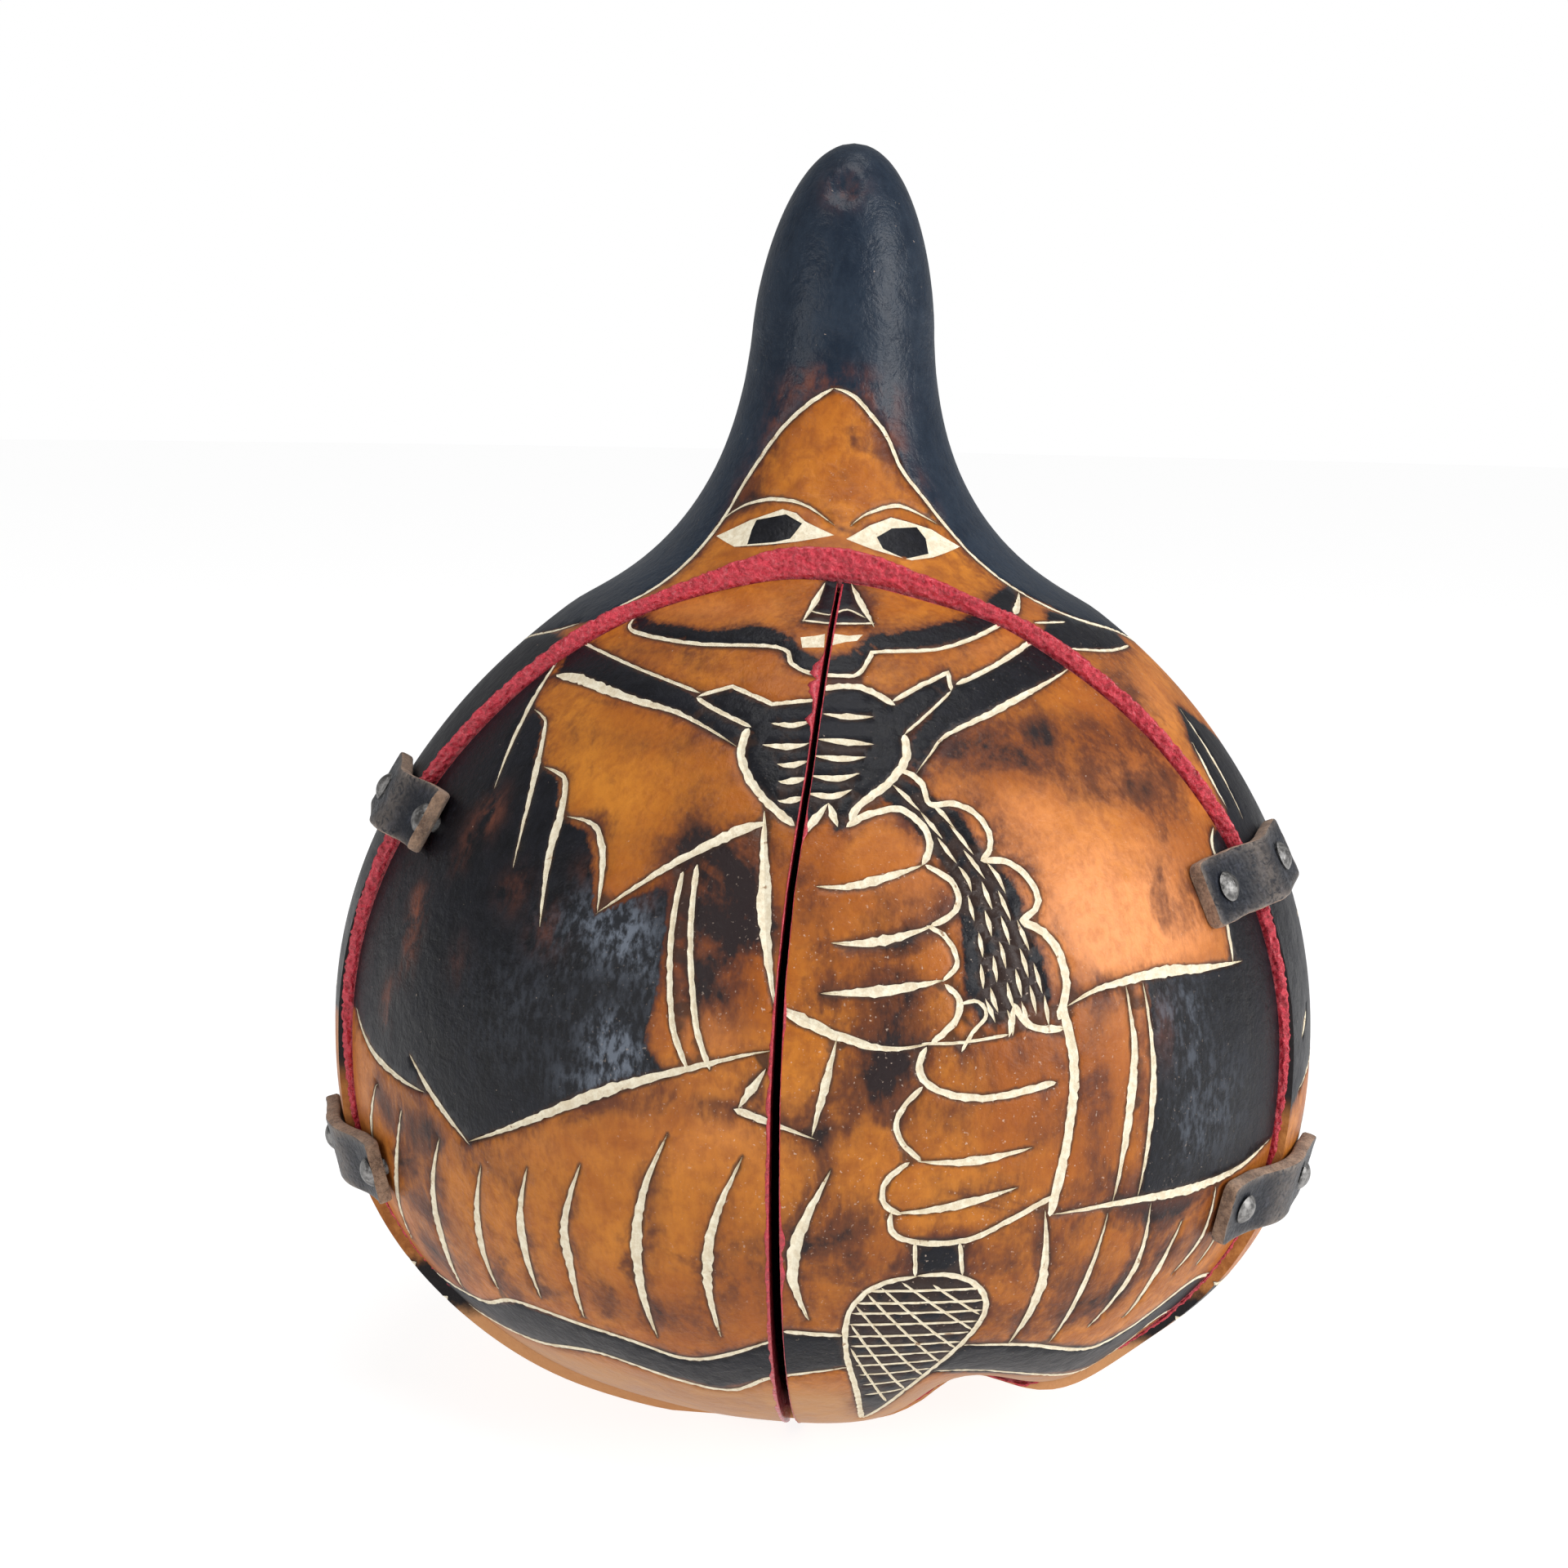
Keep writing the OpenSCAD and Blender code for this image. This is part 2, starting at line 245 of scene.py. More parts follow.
LEFT_SLEEVE = [
    (1.1, GOUGE, 0, [(-52.4, 114.8), (-45.4, 96.4)]),
    (1.2, GOUGE, 1, [(-47.4, 107), (-44.6, 106.4), (-42.6, 105.4), (-39.8, 101), (-37.5, 95), (-36, 87)]),
    (1.6, GOUGE, 1, [(-38, 100.2), (-35.4, 99.8), (-33, 98.8), (-31.6, 95), (-31, 89), (-29.6, 80)]),
    (1.2, GOUGE, 1, [(-30.4, 94.4), (-27.4, 94.2), (-25.2, 93.2), (-23.6, 90.4), (-22.8, 87), (-22.4, 82.6)]),
    (1.7, WEDGE, 1, [(-3.6, 95.4), (-7, 94.2), (-15, 89.2), (-22.6, 82.6)]),
    (1.2, LINE, 1, [(-12.8, 89), (-13, 81), (-12, 70), (-10, 63.6)]),
    (1.2, LINE, 1, [(-11.2, 90), (-10.8, 81), (-9.4, 70), (-7.6, 63.8)]),
    (2.2, GOUGE, 1, [(-3.9, 97), (-3.2, 90), (-2.4, 81), (-1, 72)]),
    (1.2, GOUGE, 1, [(-64.5, 61), (-61, 57.8), (-57, 55.6), (-50, 54), (-45.5, 53.6)]),
    (1.3, GOUGE, 0, [(-48.6, 58.4), (-44, 53.6), (-37.6, 48)]),
    (1.8, GOUGE, 1, [(-37.8, 48.4), (-33, 51), (-28, 54), (-20, 59), (-14, 62), (-5, 65.7), (-1, 66.9)]),
]
TRIANGLE = [
    (1.5, GOUGE, 0, [(-1.8, 64.4), (-4.6, 58.8)]),
    (1.2, WEDGE, 0, [(-5, 58.8), (3.4, 55.2)]),
    (1.4, GOUGE, 0, [(5.4, 68.8), (3, 55.4)]),
]
UPPER_HAND = [
    (1.4, LINE, 1, [(6.2, 95.2), (8, 96.4), (9.8, 97.1), (13, 97.5), (15.6, 95.4), (16.2, 92.8), (15, 90.5)]),
    (1.5, GOUGE, 1, [(2.8, 87.8), (6, 87.8), (10, 88.8), (15.2, 90.6)]),
    (1.2, LINE, 1, [(15.4, 90.6), (18.2, 88.6), (18.9, 86.3), (18, 84.4), (15.4, 82.9)]),
    (1.6, GOUGE, 1, [(4.6, 80.8), (8, 80.8), (12, 81.6), (15.8, 83)]),
    (1.0, LINE, 1, [(15, 83), (16.8, 81.8), (17.9, 79.7), (18, 77.8), (16.4, 75.9)]),
    (1.9, GOUGE, 1, [(3.6, 74.4), (8, 74.6), (12, 75.1), (16.6, 76.1)]),
    (1.3, LINE, 1, [(16.6, 75.6), (18, 73.9), (18, 71.6), (17, 70), (15, 68)]),
    (1.8, WEDGE, 1, [(-0.4, 72.3), (5, 69.2), (10.4, 67.4), (15.2, 68)]),
    (0.6, LINE, 1, [(14, 68), (18, 68), (23.4, 68.8)]),
]
TASSEL = [
    (1.3, LINE, 1, [(13, 102.4), (14.6, 102), (16.2, 100.6), (16.9, 98.2), (20, 98.2), (22.6, 97), (23.9, 94.6),
                    (23.6, 92.4), (22.2, 91)]),
    (1.4, LINE, 1, [(22.2, 91), (25.4, 90.8), (27.6, 89), (28.6, 86.4), (28, 84.6), (25.8, 83.2)]),
    (1.8, LINE, 1, [(25.8, 83.4), (28.6, 81.6), (30.2, 78.6), (30.6, 75), (29.8, 71.8), (29.2, 70.2)]),
    (0.8, LINE, 1, [(18.2, 73), (20.2, 73.2), (21, 71.4), (19.4, 69.2), (18.2, 66.8)]),
    (1.2, GOUGE, 0, [(23.4, 68.4), (24.2, 72.8)]),
    (1.5, LINE, 1, [(24.2, 72.8), (25, 70.8), (26.6, 69.4), (29.8, 69)]),
]
# The tassel's sides: (height, left, right). Its short strokes follow its length: (share of the way across, top)
TASSEL_SIDES = [
    (101.2, 10.6, 14.0), (98, 13.4, 18.6), (94, 16.2, 21.4), (89, 19.2, 24.4), (84, 19.8, 26), (79, 20, 27.4),
    (74, 20, 28.4), (70, 21.4, 28.6),
]
STROKES = [
    (0.3, 100.6), (0.8, 98.8), (0.3, 97.2), (0.75, 95.6), (0.2, 94), (0.6, 92.4), (0.92, 90.8), (0.2, 90.4),
    (0.5, 88.4), (0.78, 87.2), (0.1, 86.6), (0.35, 84.8), (0.62, 84), (0.9, 83.4), (0.14, 82), (0.46, 80.8),
    (0.76, 79.8), (0.1, 78), (0.3, 79), (0.6, 77.2), (0.9, 77.8), (0.2, 75), (0.44, 75.6), (0.75, 75),
    (0.1, 73.6), (0.58, 73), (0.92, 73.6), (0.34, 72),
]


def tassel_turn(share, z):
    """Where a stroke lies, as a share of the way across the tassel."""
    rows = sorted(TASSEL_SIDES)
    left, right = (np.interp(z, [r[0] for r in rows], [r[k] for r in rows]) for k in (1, 2))
    return left + (right - left) * share


TASSEL += [(0.8, GOUGE, 1, [(tassel_turn(share, z - drop), z - drop) for drop in (0, 1.7, 3.1 + share)])
           for share, z in STROKES]
RIGHT_SLEEVE = [
    (2.1, LINE, 1, [(29.8, 72.6), (30.8, 64), (30.4, 57), (29.6, 50.5), (28.6, 43.4)]),
    (1.8, GOUGE, 1, [(30.2, 71.8), (34, 73.6), (38.4, 74.4), (44, 74.9), (50, 74.4), (58.4, 74)]),
    (1.0, GOUGE, 0, [(57, 81.5), (56.4, 74)]),
    (1.8, GOUGE, 1, [(38.2, 73.8), (38.6, 66), (38.2, 60), (37.4, 52), (36.4, 44)]),
    (1.3, GOUGE, 1, [(40.6, 73.9), (41.2, 63), (40.8, 54), (39.8, 44)]),
    (1.7, GOUGE, 1, [(28.8, 43.6), (38.4, 43.9), (47.6, 43.5), (57, 44), (65, 46.4)]),
]
BODY_RIGHT = [
    (0.8, GOUGE, 0, [(77, 107.5), (72.4, 92.4)]),
    (1.0, GOUGE, 1, [(71, 103.4), (69, 98.6), (68.6, 94.4)]),
    (0.8, GOUGE, 1, [(61.6, 92), (59.4, 90), (59, 86.5)]),
    (1.2, GOUGE, 0, [(74, 60.4), (77.4, 64)]),
    (1.4, GOUGE, 1, [(73.2, 52.6), (80, 54.6), (92, 56.4), (112, 57), (128, 56.6)]),
    (1.2, GOUGE, 1, [(84, 76), (104, 76.4), (128, 73)]),
    (1.1, GOUGE, 0, [(128.5, 75), (128, 55.6)]),
    (1.0, LINE, 1, [(121.5, 73.4), (122.4, 65), (121.6, 57)]),
]
BODY_LEFT = [
    (1.2, GOUGE, 1, [(-75, 63), (-84, 58.4), (-96, 55.4), (-112, 54.6), (-128, 56.4)]),
    (1.1, GOUGE, 1, [(-88, 84), (-104, 82.6), (-128, 76)]),
    (1.1, GOUGE, 0, [(-128.5, 78), (-128, 55)]),
    (1.0, LINE, 1, [(-121, 77), (-122, 66), (-121, 56)]),
]
LOWER_HAND = [
    (1.4, LINE, 1, [(14.6, 67.6), (13.8, 65.4), (14.2, 63.4), (16.4, 61.5), (21, 60.6), (28.6, 62)]),
    (1.1, LINE, 1, [(14.2, 62.4), (12.4, 60), (11.5, 57.4), (12.2, 54.8), (14.2, 52.3)]),
    (1.4, GOUGE, 1, [(13.8, 52.3), (17, 52), (21, 52.3), (26, 53.4)]),
    (1.1, LINE, 1, [(13, 52.2), (10.9, 50), (10.3, 47.8), (10.8, 46), (12.4, 44.8)]),
    (1.5, GOUGE, 1, [(11.6, 45), (15, 45.3), (19, 46.2), (24.6, 48)]),
    (1.2, LINE, 1, [(11.3, 45.2), (11.4, 42.6), (12.8, 41.2), (16, 40.5), (20, 41), (24.4, 43.6), (29, 46.4)]),
]
PIPE = [
    (0.8, LINE, 0, [(14, 40.8), (14.4, 35.4)]),
    (0.9, LINE, 0, [(18.8, 40.6), (19.6, 35.4)]),
    (1.2, LINE, 1, [(14.6, 35.5), (11.4, 34.6), (8.8, 32.4), (7.3, 28.4), (7.6, 22), (9.6, 14.6), (12.6, 6.6)]),
    (1.2, LINE, 1, [(14.6, 35.6), (18, 35.6), (21, 34.2), (22.9, 31), (22.8, 27), (20.4, 20), (17, 12.6),
                    (12.6, 6.6)]),
] + [(0.6, LINE, 0, [(left, z), (right, z + 0.1)]) for left, right, z in
     [(9.4, 22, 33.2), (8, 22.8, 31.2), (7.8, 22.8, 29.5), (7.5, 22.6, 27.6), (7.6, 22, 25.5), (8, 21.4, 23.7),
      (8.4, 20.7, 21.8), (8.9, 20, 19.9), (9.6, 19.2, 17.9), (10.4, 18.2, 15.7), (11, 16.8, 13.4)]] + [
    (0.55, LINE, 0, [a, b]) for a, b in
    [((16.4, 34.2), (22.6, 28.8)), ((13, 34.6), (22.4, 26)), ((10.8, 33.8), (21.2, 22.4)), ((9.4, 32.7), (20, 19.4)),
     ((8.2, 30.8), (18.6, 16.4)), ((7.8, 27.6), (17, 13.4)), ((8, 23.3), (15, 11))]]
PLEATS = [
    (0.9, GOUGE, 1, [(-57.5, 51.4), (-60, 45.5), (-61.4, 39.4)]),
    (1.4, GOUGE, 1, [(-51, 49.4), (-54, 41), (-57.6, 33), (-60, 26.6)]),
    (1.9, GOUGE, 1, [(-43, 47.6), (-46, 39), (-48.4, 29), (-52, 20.4)]),
    (1.6, GOUGE, 1, [(-36, 45.4), (-38, 38), (-39.4, 31), (-40.2, 24.4)]),
    (1.7, GOUGE, 1, [(-29, 46.8), (-30.8, 40), (-31.6, 33), (-32, 25.4)]),
    (1.8, GOUGE, 1, [(-22, 48.8), (-24.8, 39.4), (-25.2, 32), (-26, 23.6)]),
    (1.9, GOUGE, 1, [(-12, 54.6), (-15, 45), (-16.2, 34.5), (-16, 22.6)]),
    (1.8, GOUGE, 1, [(-4, 52.4), (-7, 43), (-8.2, 34), (-7.6, 24)]),
    (2.1, GOUGE, 1, [(5, 51), (2, 42), (1.2, 35), (3, 28)]),
    (1.8, GOUGE, 1, [(28, 44.4), (29.2, 33), (28, 22.6)]),
    (1.1, GOUGE, 1, [(36, 42.6), (35.2, 33), (34, 22)]),
    (1.3, GOUGE, 1, [(42, 43), (42.2, 33), (39, 23.6)]),
    (1.4, GOUGE, 1, [(48, 38.8), (46.6, 32), (45, 23.6)]),
    (0.9, GOUGE, 1, [(53.4, 42.4), (53.4, 35), (50, 29.6)]),
    (0.9, GOUGE, 1, [(57.6, 40), (57.2, 34), (55.4, 29.4)]),
] + [(1.5, GOUGE, 1, [(t, 48.4 + 1.6 * math.sin(t)), (t + 1.6, 38), (t + 0.8, 25.4 + 1.4 * math.cos(t))])
     for t in [-172, -162.5, -152, -142.6, -133, -123.4, -114, -104, -95, -86, 80, 88.4, 98, 107, 117.4,
               126.6, 136, 146.4, 155.6, 165, 174.4]]
HEM = [
    (1.1, LINE, 1, [(-179.4, 24.6), (-164, 22.6), (-148, 25), (-132, 22.4), (-116, 24.4), (-100, 21.8),
                    (-84, 25.4), (-70, 22.8), (-64, 21), (-48, 20), (-38, 23), (-26, 22), (-20, 21),
                    (-12, 19.2), (-2, 23.8), (0, 26)]),
    (1.1, LINE, 1, [(0, 26), (7, 25.6)]),
    (1.1, LINE, 1, [(22, 23), (31, 22), (43, 18.6), (49, 20.4), (58, 26), (72, 23), (88, 25.6), (104, 22.6),
                    (120, 24.8), (136, 22.2), (152, 25), (166, 22.8), (179.4, 24.6)]),
    (1.1, LINE, 1, [(-179.4, 17.4), (-160, 15.2), (-142, 18), (-124, 15), (-106, 17.6), (-88, 15.4),
                    (-72, 17.4), (-57, 15.6), (-41, 15), (-27, 16.5), (-10, 13.4), (-2, 17), (8, 19.6)]),
    (1.1, LINE, 1, [(20, 17), (36, 14), (54, 11.4), (57, 19), (66, 18), (82, 15.6), (98, 18), (116, 15),
                    (134, 17.6), (152, 15.2), (168, 18), (179.4, 17.4)]),
]
CUTS = (HOOD + BROWS + NOSE + CHIN + COLLAR + KNOT + LEFT_SLEEVE + TRIANGLE + UPPER_HAND + TASSEL + RIGHT_SLEEVE
        + BODY_RIGHT + BODY_LEFT + LOWER_HAND + PIPE + PLEATS + HEM)

# Chalked fields, and the fields left standing inside them
EYES = [
    [(-40.5, 131.8), (-29, 134.3), (-17, 136.1), (-11, 135.6), (-7, 134.5), (4, 132.8), (-9, 131.6),
     (-18.6, 131), (-30, 130.5)],
    [(8.2, 132.3), (17, 134.2), (26, 135.3), (33, 134.6), (42, 133.5), (51, 131), (37, 129.7), (29, 129.4),
     (17, 130.9)],
]
IRISES = [
    [(-26.6, 133), (-26.4, 134.4), (-15, 135.4), (-8, 134.2), (-11, 132), (-16, 131.4), (-25.6, 130.9)],
    [(19, 132.6), (25.4, 133.8), (35.6, 133.9), (37.6, 132.3), (36, 130.2), (27, 129.6), (20.4, 131)],
]
LIPS = [[(-2.2, 118.8), (0.6, 119.1), (2.4, 119.4), (2.4, 117.7), (-1.6, 117.5)],
        [(4, 119.5), (7, 119.3), (9.8, 119.5), (8.6, 118.7), (6.4, 118.5), (3.8, 118)]]

# Burnt-black fields
NECK_FIELD = [(-180, 106.5), *HOOD[2][3][-2:0:-1], *HOOD[0][3][::-1], *HOOD[1][3][1:-1], (180, 106.5), (180, 190.9),
              (-180, 190.9)]
HEM_FIELD = [(-180, 24.6), *HEM[0][3][1:], *HEM[1][3][1:], *HEM[2][3][:-1], (180, 24.6),
             (180, 17.4), *HEM[4][3][-2::-1], *HEM[3][3][:0:-1], (-180, 17.4)]
BLACK = [
    NECK_FIELD,
    [(1.4, 126.6), (-2.4, 120.8), (12.4, 120.6), (8.4, 126.6)],
    [(-41.5, 120.8), (-36, 119.8), (-29, 119.6), (-21, 119.2), (-15.6, 119.8), (-12, 120.4), (-8, 120),
     (-3.8, 119), (-1.2, 117.2), (2, 116.3), (7, 116.8), (9.4, 118.4), (12, 119.6), (17, 119.7), (24, 120.3),
     (32, 121.2), (40, 122.4), (48, 124.4), (60, 125.6), (60, 124.5), (49, 121.8), (40, 120.2), (31, 118.7),
     (23, 117.7), (12.5, 117.4), (11, 116.9), (8.5, 114.5), (5, 114.2), (0.5, 114.3), (-3, 115.4), (-6, 117.4),
     (-22, 117.4), (-35, 118), (-40.5, 118.8)],
    [(-52, 116.6), (-41, 115.2), (-32, 113.9), (-22, 112.1), (-12, 109.4), (-7, 107), (-8, 104.6), (-14, 106.9),
     (-20, 108.7), (-27, 109.7), (-36, 110.9), (-48.5, 111.4)],
    [(23, 112.6), (34, 115.4), (44, 117.8), (56, 120.6), (62, 122), (83, 118), (81, 116), (68, 116.3),
     (56, 117), (51, 114.6), (38, 111.8), (29, 109.4), (21, 106.8), (15.6, 102), (14.4, 105)],
    [(-17.4, 110.8), (-12, 112.2), (-5, 110.2), (1.6, 111), (5, 112.9), (9.6, 112.6), (14, 110.8),
     (24.4, 114.8), (23.8, 112.4), (14.8, 107), (14.5, 104), (12, 101), (7.8, 97.9), (6, 95), (4.8, 94.6),
     (4, 98), (0.8, 95), (-3.4, 97.8), (-6.2, 100.6), (-8.2, 104), (-7.4, 107.2)],
    [(9.6, 99.8), (12, 102), (15, 100.9), (17.4, 99), (21, 97), (22.6, 92), (26.4, 87.6), (26.6, 82.4),
     (28, 79), (28.6, 72.6), (24.6, 72.6), (22.6, 70), (20.4, 70.6), (18.8, 75), (18.8, 83.4), (18.6, 88.4),
     (15.8, 93.4), (12.8, 97.4)],
    [(-86, 114.5), (-65, 117.1), (-52.6, 116.4), (-52.4, 114.8), (-50, 109.6), (-47.4, 107), (-43.2, 105.4),
     (-41, 101.4), (-38, 100), (-34.4, 99), (-32.6, 95.4), (-30.4, 94), (-26.4, 92.6), (-24.2, 88.4),
     (-22.6, 82.6), (-17.6, 85.6), (-13.8, 87.6), (-13.6, 76), (-14.6, 66.6), (-12, 62.6), (-20, 59), (-28, 54),
     (-37.6, 48), (-44, 53.6), (-50, 54), (-57, 55.6), (-64.5, 61), (-84, 58.4), (-96, 55.4), (-112, 54.6),
     (-121, 55.6), (-121, 77), (-104, 82.6), (-112, 100), (-108, 111)],
    [(41, 74.4), (50, 74.4), (56.4, 74), (57, 86), (60, 91), (68, 93.4), (70, 103), (77, 108), (92, 100),
     (104, 76.4), (121, 73.6), (122, 57), (112, 57), (92, 56.4), (80, 54.6), (73.2, 52.6), (65, 46.2), (57, 44),
     (47.6, 43.5), (39.8, 44), (41.2, 60)],
    [(14.2, 41), (14.5, 35.4), (11.4, 34.6), (8.8, 32.4), (7.3, 28.4), (7.6, 22), (9.6, 14.6), (12.6, 6.6),
     (17, 12.6), (20.4, 20), (22.8, 27), (22.9, 31), (21, 34.2), (19.6, 35.4), (19, 41)],
    HEM_FIELD,
]

# Soft marks: (turn, height, half width, half height, strength), in millimetres on the surface
SCORCH = [
    (29, 104.8, 8, 3, .55), (38, 105.7, 5, 2, .5), (27, 103.5, 5, 2, .5), (33, 102.3, 4, 1.6, .6),
    (57, 100, 4, 3, .9), (51, 95, 4, 3, .8), (51, 84.5, 5, 3, .7), (4.4, 43.4, 4, 4, .4), (32.4, 60, 3, 6, .2),
    (25, 37.5, 3, 5, .5), (30.4, 41.8, 3, 4, .7), (39, 43, 6, 3, .6), (54, 40, 4, 5, .7), (-40, 33, 9, 6, .35),
    (-52, 34, 6, 7, .4), (-24, 33, 6, 5, .25), (48, 34, 10, 8, .5), (36, 31, 6, 5, .35), (14, 84, 6, 3, .25),
    (44, 36, 4, 5, .5), (28.4, 23.3, 4, 2, .5), (33.6, 69.6, 3, 3, .2), (-34, 47, 7, 3, .4),
    (-50, 40, 4, 6, .5), (-9, 59, 8, 1.6, .5), (-44, 93, 3, 2, .6), (-20, 104.6, 9, 2, .6), (-12, 98, 4, 4, .7),
    (-15, 92, 7, 2, .6), (-26, 94, 3, 2, .4), (-8, 93, 5, 2.4, .7), (-37, 103, 2, 4, .5), (-8, 88, 5, 5, 1.2),
    (-8, 80, 3.6, 7, 1.4), (-4, 84, 2.6, 8, .9), (-7, 73.6, 4, 3, .8), (-13, 84, 2, 9, .8),
    (11.6, 80.4, 3.6, 4, .9), (12, 73.2, 3, 4, 1.1), (11, 68.4, 3, 2, 1.2), (10, 86.3, 6, 1.6, .5),
    (5.6, 76.4, 3, 4, .7), (3, 86.6, 2, 4, .6), (2, 91, 3, 3, .7), (14.6, 95.6, 3, 2, .6), (17, 92.4, 2, 3, .5),
    (17.6, 86.4, 1.4, 2, .5), (10.4, 65.6, 3.6, 3.6, 1.5), (9, 61.4, 3, 3, .9), (14.6, 58, 3.6, 3.4, 1.0),
    (21, 56.6, 4, 2.4, .4), (25, 66.4, 5, 3, 1.1), (18, 66.4, 3, 2, .6), (3.6, 56.4, 4, 3, .9),
    (6.6, 59.4, 3, 3, .6), (-3, 61, 2, 4, .6), (20, 48.6, 5, 1.4, .5), (26, 56, 4, 2, .5), (26, 50, 3, 1.6, .5),
    (28.6, 62, 2, 6, .5), (6.4, 41, 4, 4, .9), (4, 46, 3, 4, .6), (10, 43, 4, 3, .7), (14, 38, 3.4, 2.4, 1.3),
    (19, 38.4, 3, 2.6, 1.1), (22, 36.6, 3, 2, .7), (9, 37, 4, 2, .7), (-3.6, 35.6, 4, 5, .8),
    (-6.4, 44, 2, 5, .5), (34, 73, 5, 2, .9), (33.6, 60, 2, 7, .8), (34.6, 52, 2, 5, .6), (39.4, 58, 1, 8, .6),
    (35, 46, 5, 2, .6), (31, 107.8, 9, 2, .9), (24, 104.2, 5, 2.6, 1.3), (21, 106, 4, 2, .8),
    (38, 101.6, 8, 2.4, .8), (49, 105, 7, 3, .9), (39.6, 98.6, 5, 1.8, .5), (23.6, 98.8, 3, 3, .8),
    (14, 102.6, 3, 2, .9), (25, 95.4, 2.4, 3, .8), (28, 91, 2, 3, .6), (47, 98, 6, 2, .7), (55, 93, 4, 3, .7),
    (33, 93.6, 5, 1.2, .3), (46, 89, 6, 1.6, .4), (55, 84, 4, 3, .7), (50, 79.4, 4, 2, .4),
    (30.6, 83, 1.4, 4, .5), (33, 77, 2, 3, .4), (60, 111, 7, 3, .8), (54, 103, 6, 3, .6), (67, 115, 8, 2.4, .6),
    (-47, 48, 8, 2.6, .9), (-36, 46.6, 5, 2, .7), (-27, 52, 7, 1.6, .5), (-13, 58.6, 9, 1.6, .8),
    (-20, 55, 5, 1.6, .4), (-57, 50, 3, 5, .5), (-53, 45, 2, 6, .5), (-45, 40, 2, 7, .5), (-37, 40, 1.6, 6, .4),
    (-30.6, 40, 1.6, 6, .5), (-24, 40, 2, 6, .5), (-14, 44, 2, 7, .5), (-50, 26, 7, 3, .7),
    (-36, 26, 6, 2.4, .6), (-22, 27, 6, 3, .7), (-11, 27, 4, 4, .9), (0, 32, 4, 5, .9), (7, 30, 2, 5, .6),
    (27, 29, 4, 5, .8), (33, 30, 3, 5, .6), (40, 28, 3, 5, .5), (44, 42, 7, 2, 1.0), (54, 41, 5, 2, .6),
    (-26, 148, 1.6, 4, .9), (30, 148, 1.6, 4, .9), (0, 156, 5, 1.4, 1.0), (-40, 141, 1.8, 6, .6),
    (40, 142, 1.8, 6, .5), (-34, 139, 2, 3, .6), (-25, 137.6, 4, 2, .5), (8, 140.6, 1.6, 1.4, .7),
    (12, 147, 2, 2, .3), (27, 139.4, 3, 2, .3), (4, 131, 5, 1.4, .5), (-48, 128, 2, 3, .5), (55, 124, 3, 2, .6),
    (45, 127, 3, 1.6, .3), (-5, 123.5, 2.4, 3, .7), (13.4, 123.5, 1.8, 3, .7), (0, 120, 5, 1, .5),
    (-24, 121, 9, 1.2, .5), (20, 121, 5, 1.2, .4), (37, 123, 6, 1.4, .5), (-20, 115, 6, 1.4, .6),
    (-33, 116.4, 6, 1, .5), (28, 116, 6, 1.2, .5), (14, 115, 3, 1.6, .6), (-8, 113.4, 3, 1.2, .6),
    (-100, 40, 9, 7, .8), (-128, 92, 10, 6, .9), (-158, 66, 14, 6, 1.0), (-172, 88, 9, 8, .7),
    (162, 84, 12, 5, .9), (140, 96, 9, 5, .7), (170, 46, 10, 8, .9), (112, 44, 9, 6, .8), (-140, 38, 10, 5, .8),
    (148, 60, 10, 6, .9), (92, 108, 8, 3, .6), (-95, 106, 8, 3, .6), (-96, 48, 9, 5, .6), (66, 32, 6, 5, .4),
    (80, 44, 7, 4, .4), (-74, 44, 8, 5, .4), (180, 70, 10, 8, .7), (-180, 70, 10, 8, .7),
]
# Pale patches, partly painted light: the ones on the upper right door are a painted pool of light from the right
PALE_AND_LIT = [
    (36, 86, 18, 8, .9), (45, 81, 12, 5, .8), (27, 98, 7, 4, .5), (24, 92, 3, 5, .3), (52, 100, 10, 3, .5),
    (38, 78, 10, 3, .5), (30, 118.6, 10, 2, .3), (-24, 122, 12, 2.4, .35), (-33, 113, 6, 2, .2),
    (58, 121, 6, 3, .2), (66, 110, 9, 5, .4), (40, 116, 6, 2, .3), (40, 68, 3, 6, .4), (-62, 46, 6, 8, .35),
    (-8, 69, 4, 3, .45), (-28, 51, 8, 2, .2), (-7, 56, 8, 4, .35), (-60, 32, 6, 6, .2), (62, 38, 6, 4, .3),
    (100, 90, 14, 6, .3), (-150, 90, 14, 8, .3),
]
GOLD = [
    (-24, 97, 15, 7, 1.0), (-18, 48, 20, 7, .55), (-20, 38, 22, 7, .45), (12, 46, 9, 5, .5), (10, 82, 6, 3, .5),
    (22, 49, 7, 3, .5), (0, 61, 6, 4, .4), (-34, 104, 6, 4, .5), (165, 98, 12, 5, .4), (-120, 40, 12, 6, .4),
]
# Scuffs on the black, partly painted sheen: the blue-grey patches on the left sleeve stand in for a sheen of the light
SCUFF_AND_SHEEN = [
    (-21, 82, 4.4, 2.6, 1.2), (-17.6, 79, 2.6, 2.4, 1.0), (-14, 75, 2.2, 2.6, .5), (-22, 78, 5, 3, .3),
    (-18.8, 67, 2.6, 2.4, 1.2), (-17.2, 63.6, 3, 2.6, 1.2), (-21, 60.4, 3.4, 1.8, .8), (-30, 68, 8, 6, .2),
    (-6, 82, 2.4, 5, .5), (47, 62, 3, 6, .45), (44, 70, 5, 2.4, .5), (53, 55, 4, 5, .3), (48, 52, 4, 3, .4),
    (108, 66, 5, 5, .4),
]
